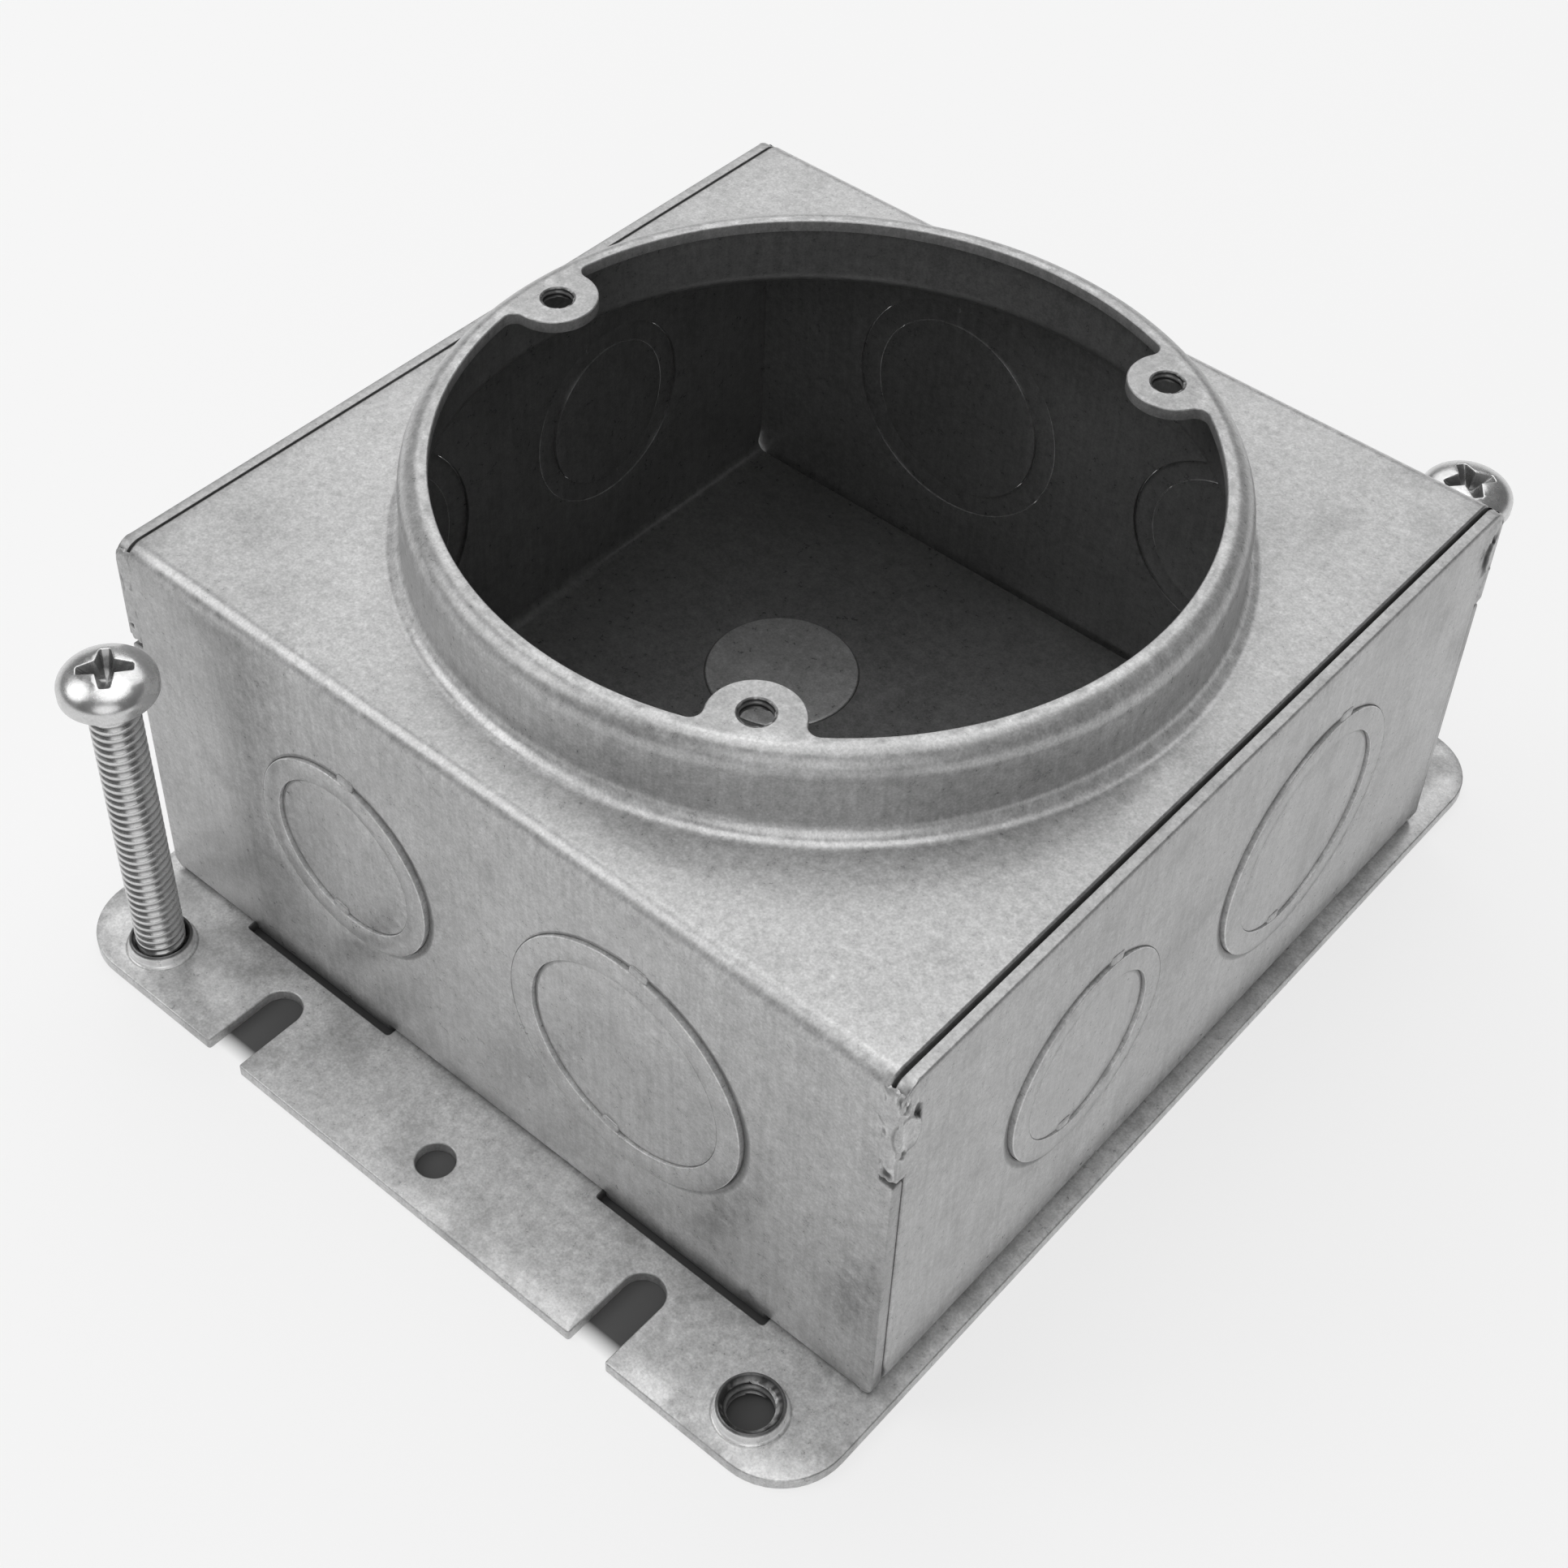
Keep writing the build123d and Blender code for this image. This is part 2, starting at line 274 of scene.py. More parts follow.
def outline(corners, step=STEP, steps=8):
    """Closed outline through (x, y, radius) corners, with points along its straights."""
    points = [np.array(c[:2], float) for c in corners]
    count = len(corners)
    pieces = []
    for i in range(count):
        radius = corners[i][2]
        if radius:
            pieces.append(corner_arc(points[i - 1], points[i], points[(i + 1) % count], radius, steps))
        else:
            pieces.append(points[i][None])
    loop = []
    for i in range(count):
        loop.extend(pieces[i])
        start = pieces[i][-1]
        end = pieces[(i + 1) % count][0]
        parts = max(1, round(float(np.linalg.norm(end - start)) / step))
        loop.extend(start + (end - start) * k / parts for k in range(1, parts))
    return np.array(loop)


def inset(loop, distance):
    """The outline moved to its left, into the material, by one distance or one for each point."""
    before = loop - np.roll(loop, 1, 0)
    after = np.roll(loop, -1, 0) - loop
    n0 = np.stack([-before[:, 1], before[:, 0]], 1) / np.linalg.norm(before, axis=1)[:, None]
    n1 = np.stack([-after[:, 1], after[:, 0]], 1) / np.linalg.norm(after, axis=1)[:, None]
    mitre = (n0 + n1) / (1 + (n0 * n1).sum(1))[:, None]
    return loop + mitre * np.broadcast_to(distance, len(loop))[:, None]


def inside(points, loops):
    """True for each point in the region that the outlines bound."""
    crossings = np.zeros(len(points), int)
    x = points[:, 0][:, None]
    y = points[:, 1][:, None]
    for loop in loops:
        nxt = np.roll(loop, -1, 0)
        spans = (loop[:, 1] > y) != (nxt[:, 1] > y)
        rise = np.where(nxt[:, 1] == loop[:, 1], 1, nxt[:, 1] - loop[:, 1])
        at = loop[:, 0] + (y - loop[:, 1]) * (nxt[:, 0] - loop[:, 0]) / rise
        crossings += (spans & (x < at)).sum(1)
    return crossings % 2 == 1


def fill(loops, extra, grid):
    """Triangles over a region. Extra is a list of further points, and grid the spacing of a point grid."""
    edge = np.concatenate(loops)
    low, high = edge.min(0), edge.max(0)
    gx, gy = np.meshgrid(np.arange(low[0], high[0], grid), np.arange(low[1], high[1], grid))
    inner = np.stack([gx.ravel(), gy.ravel()], 1)
    clear_of_extra, clear_of_edge = 0.6 * grid, 0.3 * grid
    if len(extra):
        apart = np.linalg.norm(inner[:, None] - extra[None], axis=2).min(1)
        inner = np.concatenate([inner[apart > clear_of_extra], extra])
    apart = np.linalg.norm(inner[:, None] - edge[None], axis=2).min(1)
    inner = inner[(apart > clear_of_edge) & inside(inner, loops)]
    links = []
    first = 0
    for loop in loops:
        count = len(loop)
        links += [(first + i, first + (i + 1) % count) for i in range(count)]
        first += count
    points = [Vector(p) for p in np.concatenate([edge, inner])]
    found = geometry.delaunay_2d_cdt(points, links, [], 0, 1e-7)
    verts = np.array([tuple(v) for v in found[0]])
    tris = np.array(found[2])
    return verts, tris[inside(verts[tris].mean(1), loops)]


# Meshes

class Skin:
    """Collects the points and faces of one mesh, in millimetres, with a colour factor at each point for
    darker cut edges and for painted light and shade.
    """

    def __init__(self):
        self.points = []
        self.finish_and_painted_light = []
        self.faces = []
        self.count = 0

    def add(self, points, faces, finish_and_painted_light=1.0):
        self.points.append(np.asarray(points, float))
        self.finish_and_painted_light.append(np.array(np.broadcast_to(finish_and_painted_light, len(points)), float))
        self.faces.extend(tuple(int(i) + self.count for i in f) for f in faces)
        self.count += len(points)

    def strips(self, rows, closed=True, finish_and_painted_light=1.0):
        """Quads between rows of equally many points. The colour factor is one value, or one for each row or
        point.
        """
        count = len(rows[0])
        last = count if closed else count - 1
        faces = []
        for r in range(len(rows) - 1):
            for i in range(last):
                j = (i + 1) % count
                faces.append((r * count + i, (r + 1) * count + i, (r + 1) * count + j, r * count + j))
        if np.ndim(finish_and_painted_light) < 2:
            finish_and_painted_light = [np.full(count, f) for f in np.broadcast_to(finish_and_painted_light, len(rows))]
        self.add(np.concatenate(rows), faces, np.concatenate(list(finish_and_painted_light)))

    def make(self, name, sharp=40.0):
        """The finished object in metres, with points merged and normals outwards."""
        mesh = bpy.data.meshes.new(name)
        mesh.from_pydata([tuple(p) for p in np.concatenate(self.points) * MM], [], self.faces)
        layer = mesh.attributes.new("finish_and_painted_light", "FLOAT", "POINT")
        layer.data.foreach_set("value", np.concatenate(self.finish_and_painted_light))
        work = bmesh.new()
        work.from_mesh(mesh)
        bmesh.ops.remove_doubles(work, verts=work.verts, dist=MERGE * MM)
        bmesh.ops.dissolve_degenerate(work, edges=work.edges, dist=MERGE * MM / 10)
        bmesh.ops.recalc_face_normals(work, faces=work.faces)
        work.to_mesh(mesh)
        work.free()
        mesh.shade_smooth()
        mesh.set_sharp_from_angle(angle=math.radians(sharp))
        obj = bpy.data.objects.new(name, mesh)
        bpy.context.scene.collection.objects.link(obj)
        return obj


def edge_profile(width, drop, under):
    """Rows (inset, depth) down the cut edge of a sheet, rolled over outside and rounded underneath."""
    rows = []
    for a in np.linspace(0, math.pi / 2, 6):
        rows.append((width * (1 - math.sin(a) ** 1.6), -drop * (1 - math.cos(a))))
    for a in np.linspace(0, math.pi / 2, 4):
        rows.append((under * (1 - math.cos(a)), -SHEET + under * (1 - math.sin(a))))
    return rows


def sheet(skin, place, free, joined=(), grid=STEP, inner=1.0, outer_painted_light=None, extra=()):
    """Sheet of metal in a skin. Free outlines get rolled edges, joined ones stay open for another form.
    Free holds (loop, roll width, roll drop, under radius, colour factor of the roll for darker cut edges,
    painted light and painted shade), joined holds (outer loop, inner loop). Inner is the under face's colour
    factor, a painted shade where it is below 1, and an optional function gives the outer face's painted light
    and shade."""
    upper = [pair[0] for pair in joined]
    lower = [pair[1] for pair in joined]
    for loop, width, drop, under, dull_and_painted_light in free:
        profile = edge_profile(width, drop, under)
        shares = np.clip(np.arange(len(profile)) / 2.0, 0, 1)
        shades = [1 + (dull_and_painted_light - 1) * share * np.ones(len(loop)) for share in shares]
        shades[-1] = inner * np.ones(len(loop))
        skin.strips([place(inset(loop, d), w) for d, w in profile], finish_and_painted_light=shades)
        upper.append(inset(loop, width))
        lower.append(inset(loop, under))
    extra = np.array(extra, float).reshape(-1, 2)
    verts, tris = fill(upper, extra, grid)
    skin.add(place(verts, np.zeros(len(verts))), tris, outer_painted_light(verts) if outer_painted_light else 1.0)
    verts, tris = fill(lower, extra, grid)
    skin.add(place(verts, np.full(len(verts), -SHEET)), tris, inner)


def cut(loop, dull_and_painted_light=CUT):
    """Plain cut edge of a sheet."""
    return (loop, EDGE_OUT, EDGE_OUT, EDGE_IN, dull_and_painted_light)


def revolve(skin, profile, count, centre=(0.0, 0.0), finish_and_painted_light=1.0):
    """Surface swept by an open (r, z) profile about a vertical axis."""
    rows = []
    for r, z in profile:
        ring = circle(centre, r, count)
        rows.append(np.column_stack([ring, np.full(count, z)]))
    skin.strips(rows, finish_and_painted_light=finish_and_painted_light)


def helix(skin, centre, low, high, pitch, shape, radius_at, blank, shade):
    """Screw surface between two heights. Shape is the profile over one turn, from 0 to 1. Radius_at makes it
    a radius at each height, shade makes it a colour factor of painted shade, and blank is the radius at both
    ends."""
    steps = len(shape)
    turns = math.ceil((high - low) / pitch) + 2
    a = np.arange(ROUND_HOLE + 1) * 2 * math.pi / ROUND_HOLE
    rows = []
    shades = []
    for k in range(turns * steps + 1):
        share = shape[k % steps]
        z = low - pitch + pitch * (k / steps + a / (2 * math.pi))
        r = np.where((z <= low) | (z >= high), blank, radius_at(share, z))
        z = np.clip(z, low, high)
        rows.append(np.column_stack([centre[0] + r * np.cos(a), centre[1] + r * np.sin(a), z]))
        shades.append(np.full(len(a), shade(share)))
    skin.strips(rows, closed=False, finish_and_painted_light=shades)


def nut_thread(skin, centre, low, high, radius, depth, pitch):
    """Thread inside a bore, with painted shade that is darkest in its roots."""
    shape = (0, 0, 0.3, 0.8, 1.0, 1.0, 0.8, 0.3)
    helix(skin, centre, low, high, pitch, shape, lambda share, z: radius - depth * share, radius,
          lambda share: 0.12 + 0.5 * share ** 2)


# Folded sheets: flat coordinates (u, s) and depth w become places on the formed part

def shell_fold(points, depth):
    """Top, front and back walls and bent-in tabs. s runs from the middle of the top, positive to the back."""
    u = points[:, 0]
    s = points[:, 1]
    side = np.where(s < 0, -1.0, 1.0)
    run = np.abs(s)
    w = np.broadcast_to(depth, run.shape)
    flat = HALF_DEPTH - SHELL_BEND
    bend = SHELL_BEND * math.pi / 2
    wall = flat + bend
    foot = wall + TOP_FACE - SHELL_BEND - WALL_FOOT
    tab_bend = WALL_FOOT * math.pi / 2
    y = run.copy()
    z = TOP_FACE + w
    a = (run - flat) / SHELL_BEND
    pick = (run > flat) & (run <= wall)
    y = np.where(pick, flat + (SHELL_BEND + w) * np.sin(a), y)
    z = np.where(pick, TOP_FACE - SHELL_BEND + (SHELL_BEND + w) * np.cos(a), z)
    pick = (run > wall) & (run <= foot)
    y = np.where(pick, HALF_DEPTH + w, y)
    z = np.where(pick, TOP_FACE - SHELL_BEND - (run - wall), z)
    b = (run - foot) / WALL_FOOT
    pick = (run > foot) & (run <= foot + tab_bend)
    y = np.where(pick, HALF_DEPTH - WALL_FOOT + (WALL_FOOT + w) * np.cos(b), y)
    z = np.where(pick, WALL_FOOT - (WALL_FOOT + w) * np.sin(b), z)
    pick = run > foot + tab_bend
    y = np.where(pick, HALF_DEPTH - WALL_FOOT - (run - foot - tab_bend), y)
    z = np.where(pick, -w, z)
    return np.column_stack([u, side * y, z])


def shell_run(z):
    """Flat coordinate of a height on the back wall of the shell."""
    return HALF_DEPTH - SHELL_BEND + SHELL_BEND * math.pi / 2 + TOP_FACE - SHELL_BEND - z


def channel_fold(points, depth):
    """Floor and both side walls. u is y, and s runs from the middle of the floor, positive to the right."""
    u = points[:, 0]
    s = points[:, 1]
    side = np.where(s < 0, -1.0, 1.0)
    run = np.abs(s)
    w = np.broadcast_to(depth, run.shape)
    flat = HALF_WIDTH - CHANNEL_BEND
    wall = flat + CHANNEL_BEND * math.pi / 2
    x = run.copy()
    z = PLATE_TOP - w
    a = (run - flat) / CHANNEL_BEND
    pick = (run > flat) & (run <= wall)
    x = np.where(pick, flat + (CHANNEL_BEND + w) * np.sin(a), x)
    z = np.where(pick, PLATE_TOP + CHANNEL_BEND - (CHANNEL_BEND + w) * np.cos(a), z)
    pick = run > wall
    x = np.where(pick, HALF_WIDTH + w, x)
    z = np.where(pick, PLATE_TOP + CHANNEL_BEND + run - wall, z)
    return np.column_stack([side * x, u, z])


def channel_run(z):
    """Flat coordinate of a height on the right wall of the channel."""
    return HALF_WIDTH - CHANNEL_BEND + CHANNEL_BEND * math.pi / 2 + z - PLATE_TOP - CHANNEL_BEND


def plate_place(points, depth):
    """The base plate lies flat."""
    w = np.broadcast_to(depth, len(points))
    return np.column_stack([points, PLATE_TOP + w])


# Knockouts

def lean(points, direction, radius, middle, swing):
    """Height of a leaning disc: the middle's, plus the swing towards the direction."""
    a = math.radians(direction)
    return middle + swing * (points[:, 0] * math.cos(a) + points[:, 1] * math.sin(a)) / radius


def roll(loop, direction, width=ROLL, dull_and_painted_light=0.3):
    """Rolled edge that is widest on the side that a direction names, in degrees, with a painted shade that is
    strongest there.
    """
    a = np.arctan2(loop[:, 1], loop[:, 0]) - math.radians(direction)
    share = np.clip(0.3 + 0.7 * np.cos(a), 0, 1) ** 0.8
    drop = ROLL_DROP * width / ROLL
    widths = LEAST_ROLL + (width - LEAST_ROLL) * share
    drops = LEAST_DROP + (drop - LEAST_DROP) * share
    return widths, drops, EDGE_IN, 1 + (dull_and_painted_light - 1) * share ** 0.5


def slug(skin, place, loops, height):
    """A ring or disc of sheet about the hole's middle, at a height that depends on the place."""
    def set_in(points, depth):
        return place(points, np.broadcast_to(depth, len(points)) + height(points))
    # The slug's under face gets painted shade
    sheet(skin, set_in, loops, grid=SLUG_GRID, inner=INSIDE_PAINTED_SHADE)


def bridge(skin, place, radius, angle, height):
    """Uncut web between a slug and the sheet round it."""
    reach, half = BRIDGE_HALF
    a = math.radians(angle)
    along = np.array([math.cos(a), math.sin(a)])
    across = np.array([-along[1], along[0]])
    corners = [(radius + reach * r, half * t) for r, t in ((-1, -1), (1, -1), (1, 1), (-1, 1))]
    loop = outline([tuple(along * r + across * t) + (BRIDGE_CORNER,) for r, t in corners], step=0.5, steps=4)
    slug(skin, place, [(loop, *BRIDGE_EDGE)], lambda points: BRIDGE_RISE * height(points))


def knockout(skin, place, outer, inner, direction, bridge_angle):
    """Concentric pair. Place maps points about the hole's middle and a depth onto the wall."""
    def ring_height(points):
        return lean(points, direction, outer, RING_RISE / 2, RING_RISE / 2)

    share = inner / outer
    near = RING_RISE / 2 * (1 + share)
    far = RING_RISE / 2 * (1 - share) - DISC_DROP

    def disc_height(points):
        return lean(points, direction, inner, (near + far) / 2, (near - far) / 2)

    ring_out = circle((0, 0), outer - SLUG_GAP, ROUND_KNOCKOUT)
    ring_in = circle((0, 0), inner + SLUG_GAP / 2, ROUND_KNOCKOUT, hole=True)
    disc = circle((0, 0), inner - SLUG_GAP / 2, ROUND_KNOCKOUT)
    # Painted highlights on the ring's cut edges
    ring_edges = [(ring_out, 2 * SLUG_EDGE, 2 * SLUG_EDGE, SLUG_EDGE, EDGE_PAINTED_HIGHLIGHT),
                  (ring_in, SLUG_EDGE, SLUG_EDGE, SLUG_EDGE, EDGE_PAINTED_HIGHLIGHT)]
    slug(skin, place, ring_edges, ring_height)
    # The disc's rolled edge gets painted shade
    slug(skin, place, [(disc, *roll(disc, direction + 180, DISC_ROLL, 0.5))], disc_height)
    bridge(skin, place, outer, bridge_angle, ring_height)
    bridge(skin, place, inner, bridge_angle + INNER_BRIDGE_TURN, ring_height)


def knockout_hole(centre, radius, direction, flip=1):
    """Outline of a knockout's hole in the flat sheet, with its rolled edge. Flip is -1 on a wall whose right
    and up run against the flat's axes."""
    loop = circle((0, 0), radius, ROUND_KNOCKOUT, hole=True)
    # Its rolled edge gets painted shade, strongest on the leaning side
    return (loop + centre, *roll(loop * (flip, flip), direction))


# The three formed sheets

def bend_rows(low, high, half):
    """Points across a bend, in rows."""
    rows = []
    for s in np.linspace(low, high, BEND_STEPS + 1):
        rows.extend((u, s) for u in np.arange(-half + STEP, half - STEP / 2, STEP))
    return rows


def collar_shell():
    """Top with its collar, front and back walls, bent-in tabs, and the welds at the corners."""
    skin = Skin()
    flat = HALF_DEPTH - SHELL_BEND
    wall = flat + SHELL_BEND * math.pi / 2
    wing = shell_run(WING_TOP)
    foot = shell_run(WALL_FOOT)
    tab_bend = foot + WALL_FOOT * math.pi / 2
    tab_end = tab_bend + TAB_DEPTH - WALL_FOOT
    bends = list(np.linspace(flat, wall, BEND_STEPS + 1))
    half = TAB_LENGTH / 2
    side = [(TOP_HALF_WIDTH, s, 0) for s in bends]
    side += [(TOP_HALF_WIDTH, wing, 0.3), (WING_HALF_WIDTH, wing, 0.5), (WING_HALF_WIDTH, foot, WING_CORNER)]
    tabs = []
    for x in (NOTCH_PLACE, -NOTCH_PLACE):
        right = [(x + half, s, 0) for s in np.linspace(foot, tab_bend, 5)]
        left = [(x - half, s, 0) for s in np.linspace(tab_bend, foot, 5)]
        tabs += right + [(x + half, tab_end, 1.0), (x - half, tab_end, 1.0)] + left
    back = side + tabs + [(-x, s, r) for x, s, r in reversed(side)]
    front = [(-x, -s, r) for x, s, r in back]
    edge = outline(back + front)
    holes = []
    for turn in (-1, 1):
        middle = shell_run(KNOCKOUT_HEIGHT) * turn
        for along, outer, _ in WALL_KNOCKOUTS:
            centre = np.array([-turn * along, middle])
            holes.append(knockout_hole(centre, outer, SHELL_LEAN, -turn))
    rim = circle((0, 0), FOOT_R, ROUND_COLLAR, hole=True)
    extra = []
    for sign in (-1, 1):
        extra += bend_rows(sign * flat, sign * wall, TOP_HALF_WIDTH)
        for x in (NOTCH_PLACE, -NOTCH_PLACE):
            extra += [(x + p[0], sign * p[1]) for p in bend_rows(foot, tab_bend, half)]
    beside_gap = (np.abs(edge[:, 0]) > TOP_HALF_WIDTH - MERGE) & (np.abs(edge[:, 1]) < wall)
    at_foot = np.abs(edge[:, 1]) > foot - MERGE
    rolled = np.where(beside_gap, TOP_ROLL, np.where(at_foot, 3 * EDGE_OUT, EDGE_OUT))
    # Painted shade on the top's edge beside the gap and on the walls' edges at the foot; other cut edges a
    # little darker
    dull_and_painted_light = np.where(beside_gap, 0.6, np.where(at_foot, 0.3, 0.8))
    free = [(edge, rolled, 0.7 * rolled, EDGE_IN, dull_and_painted_light)] + holes

    def outer_painted_light(points):
        """Painted highlight on the bends, and painted shade in the last millimetre above the plate."""
        run = np.abs(points[:, 1])
        share = np.clip((run - flat) / (wall - flat), 0, 1)
        return np.where(run > foot - 1, 0.55, 1 + 0.25 * np.sin(math.pi * share ** 0.8) ** 2)

    # Painted shade on the inner faces, and painted light and shade on the outer face from the function above
    sheet(skin, shell_fold, free, [(rim, rim)], inner=INSIDE_PAINTED_SHADE, outer_painted_light=outer_painted_light, extra=extra)
    collar(skin)
    for sx in (-1, 1):
        for sy in (-1, 1):
            corner_weld(skin, sx, sy)
    for turn in (-1, 1):
        for along, outer, inner in WALL_KNOCKOUTS:
            place = wall_place((0.0, turn * HALF_DEPTH), (-turn * 1.0, 0.0), along)
            knockout(skin, place, outer, inner, SHELL_LEAN, SHELL_BRIDGE)
    return skin.make("collar_shell_formed")


def corner_shape(t, z):
    """Place and outward direction on a corner's outer faces. t runs from one wall round to the other."""
    turn = np.clip((t + WELD_ROUND) / (2 * WELD_ROUND), 0, 1) * math.pi / 2
    x = np.where(t < -WELD_ROUND, t, -WELD_ROUND + WELD_ROUND * np.sin(turn))
    x = np.where(t > WELD_ROUND, 0, x)
    y = np.where(t > WELD_ROUND, -t, -WELD_ROUND + WELD_ROUND * np.cos(turn))
    y = np.where(t < -WELD_ROUND, 0, y)
    bent = np.maximum(z - (TOP_FACE - SHELL_BEND), 0)
    y = y - (SHELL_BEND - np.sqrt(SHELL_BEND ** 2 - bent ** 2))
    return x, y, np.sin(turn), np.cos(turn)


def weld_scars(lift=0.0, share=1.0):
    """Middle of a weld's oval, and its pits. Lift moves them up, and share makes the pits smaller."""
    lowest = TONGUE_FOOT + 0.5
    highest = WELD_TOP + 2.0
    pits = [((tc, min(max(zc + lift, lowest), highest)), size * share, depth * share)
            for (tc, zc), size, depth in WELD_PITS]
    return (WELD_OVAL[0], WELD_OVAL[1] + lift), pits


def peak(away, middle, width, power=2):
    """1 where a distance is the middle, falling to 0 over the width. A high power is flat on top."""
    return np.exp(-((away - middle) / width) ** power)


def weld_relief(t, z, oval, pits):
    """Height of a weld over the walls, and its colour factor of painted light and shade."""
    height = 0.13 + 0.03 * np.sin(1.7 * z + 3.0 * t) + 0.02 * np.sin(3.9 * z - 2.2 * t + 1.0)
    dull_and_painted_light = np.ones(t.shape)
    wide, tall = WELD_OVAL_HALF
    across, up = (t - oval[0]) / wide, (z - oval[1]) / tall
    ring = np.hypot(across, up)
    lee = np.clip(np.cos(np.arctan2(up, across) - 0.1), 0, 1) ** 0.7
    # The oval is a hollow with painted brightness in a painted dark line. Its lee side has a raised rim with
    # a painted gleam, and a painted shadow
    height += 0.42 * lee * peak(ring, 1, 0.13)
    height -= 0.07 * peak(ring, 0, 0.85, 6)
    dull_and_painted_light -= 0.9 * lee * peak(ring, 1.25, 0.18) - 0.25 * peak(ring, 0, 0.9, 6)
    dull_and_painted_light -= 0.5 * peak(ring, 1.05, 0.12)
    dull_and_painted_light += 0.5 * lee * peak(ring, 0.98, 0.08)
    # Each pit has painted shade, and a raised rim with a painted highlight
    for (tc, zc), size, depth in pits:
        away = np.hypot(t - tc, (z - zc) * (0.8 + 0.2 * np.sin(5 * t))) / size
        height += depth * (0.55 * peak(away, 1.25, 0.35) - peak(away, 0, 1))
        dull_and_painted_light *= 1 - 0.9 * peak(away, 0, 0.95, 4) + 0.3 * peak(away, 1.5, 0.3)
    return np.maximum(height, 0.04), dull_and_painted_light


def corner_weld(skin, sx, sy):
    """Weld that fills the seam beside a tongue's end and wraps the corner, dressed nearly flush."""
    rng = np.random.default_rng(7 + 2 * sx + sy)
    low, high = TONGUE_FOOT - WELD_ENDS[0], WELD_TOP + WELD_ENDS[1]
    along = np.linspace(-WELD_FRONT, WELD_SIDE, WELD_POINTS[0])
    t, z = np.meshgrid(along, np.linspace(low, high, WELD_POINTS[1]), indexing="ij")
    x, y, nx, ny = corner_shape(t, z)
    ragged = 0.3 * np.sin(1.3 * z + 5 * rng.random()) + 0.2 * np.sin(2.9 * z + 5 * rng.random())
    near = sx > 0 > sy
    oval, pits = weld_scars() if near else weld_scars(rng.uniform(-2.5, 1.5), rng.uniform(0.5, 0.8))
    height, dull_and_painted_light = weld_relief(t, z, oval, pits)
    # The bead thins out towards a ragged margin, narrower below the oval, and dips under the wall past it
    reach = np.where(z > oval[1] - 3.2, WELD_SIDE - 0.5, 1.6)
    margin = np.minimum(np.minimum(t + WELD_FRONT - 0.5 + ragged, reach - t + 0.6 * ragged),
                        np.minimum(z - low, high - z) - 0.1 + 0.1 * np.sin(6 * t))
    edge = np.clip(margin / 0.7, 0, 1) ** 0.8
    height = np.where(margin < 0, np.maximum(-0.3, -0.02 + 1.2 * margin), height * edge - 0.02)
    dull_and_painted_light = 1 + (dull_and_painted_light - 1) * edge
    place = np.stack([sx * (HALF_WIDTH + x + nx * height), sy * (HALF_DEPTH + y + ny * height), z], 2)
    skin.strips(list(place), closed=False, finish_and_painted_light=dull_and_painted_light)


def wall_place(foot, right, along):
    """Maps points about a knockout's middle onto an outer wall face. Right is to the right from outside."""
    right = np.array([right[0], right[1], 0.0])
    out = np.array([right[1], -right[0], 0.0])
    centre = np.array([foot[0], foot[1], KNOCKOUT_HEIGHT]) + right * along

    def place(points, depth):
        w = np.broadcast_to(depth, len(points))
        up = np.array([0.0, 0.0, 1.0])
        return centre + points[:, :1] * right + points[:, 1:] * up + w[:, None] * out
    return place


def arc_profile(centre, radius, start, end, steps=10):
    """Profile points on an arc, in degrees."""
    return [tuple(p) for p in arc(centre, radius, math.radians(start), math.radians(end), steps)]


def collar(skin):
    """Drawn collar with its lip and ears. It meets the top at its foot."""
    foot = (FOOT_R, TOP_FACE + COLLAR_FOOT)
    shoulder = (SHOULDER_R, RIM_FACE - COLLAR_SHOULDER)
    outside = arc_profile(foot, COLLAR_FOOT, 270, 180)
    outside += arc_profile(shoulder, COLLAR_SHOULDER, 0, 90)
    within = arc_profile(foot, COLLAR_FOOT + SHEET, 270, 180)
    within += arc_profile(shoulder, COLLAR_SHOULDER - SHEET, 0, 90)
    # Painted highlights on the collar's foot fillet and its shoulder
    foot_painted_light = [1.0, 1.15, 1.3, 1.45, 1.5, 1.5, 1.4, 1.2]
    rim_painted_light = [1.1, 1.2]
    plain = len(outside) - len(foot_painted_light) - len(rim_painted_light)
    revolve(skin, outside, ROUND_COLLAR, finish_and_painted_light=foot_painted_light + [1.0] * plain + rim_painted_light)
    # The collar's inside gets painted shade
    revolve(skin, within, ROUND_COLLAR, finish_and_painted_light=INSIDE_PAINTED_SHADE)

    def lip_place(points, depth):
        return np.column_stack([points, RIM_FACE + np.broadcast_to(depth, len(points))])

    # The lip's top gets a painted shade
    def lip_painted_shade(points):
        return np.full(len(points), LIP_PAINTED_SHADE)

    ring = circle((0, 0), SHOULDER_R, ROUND_COLLAR)
    joined = [(ring, ring)]
    for angle in EAR_ANGLES:
        a = math.radians(angle)
        centre = (EAR_HOLE_REACH * math.cos(a), EAR_HOLE_REACH * math.sin(a))
        mouth = circle(centre, EAR_HOLE + EAR_HOLE_EDGE, ROUND_HOLE, hole=True)
        joined.append((mouth, mouth))
        ear_thread(skin, centre)
    # Painted shade on the lip's top, and a deeper painted shade on its under face
    sheet(skin, lip_place, [cut(opening_outline())], joined, LIP_STEP, INSIDE_PAINTED_SHADE, lip_painted_shade)


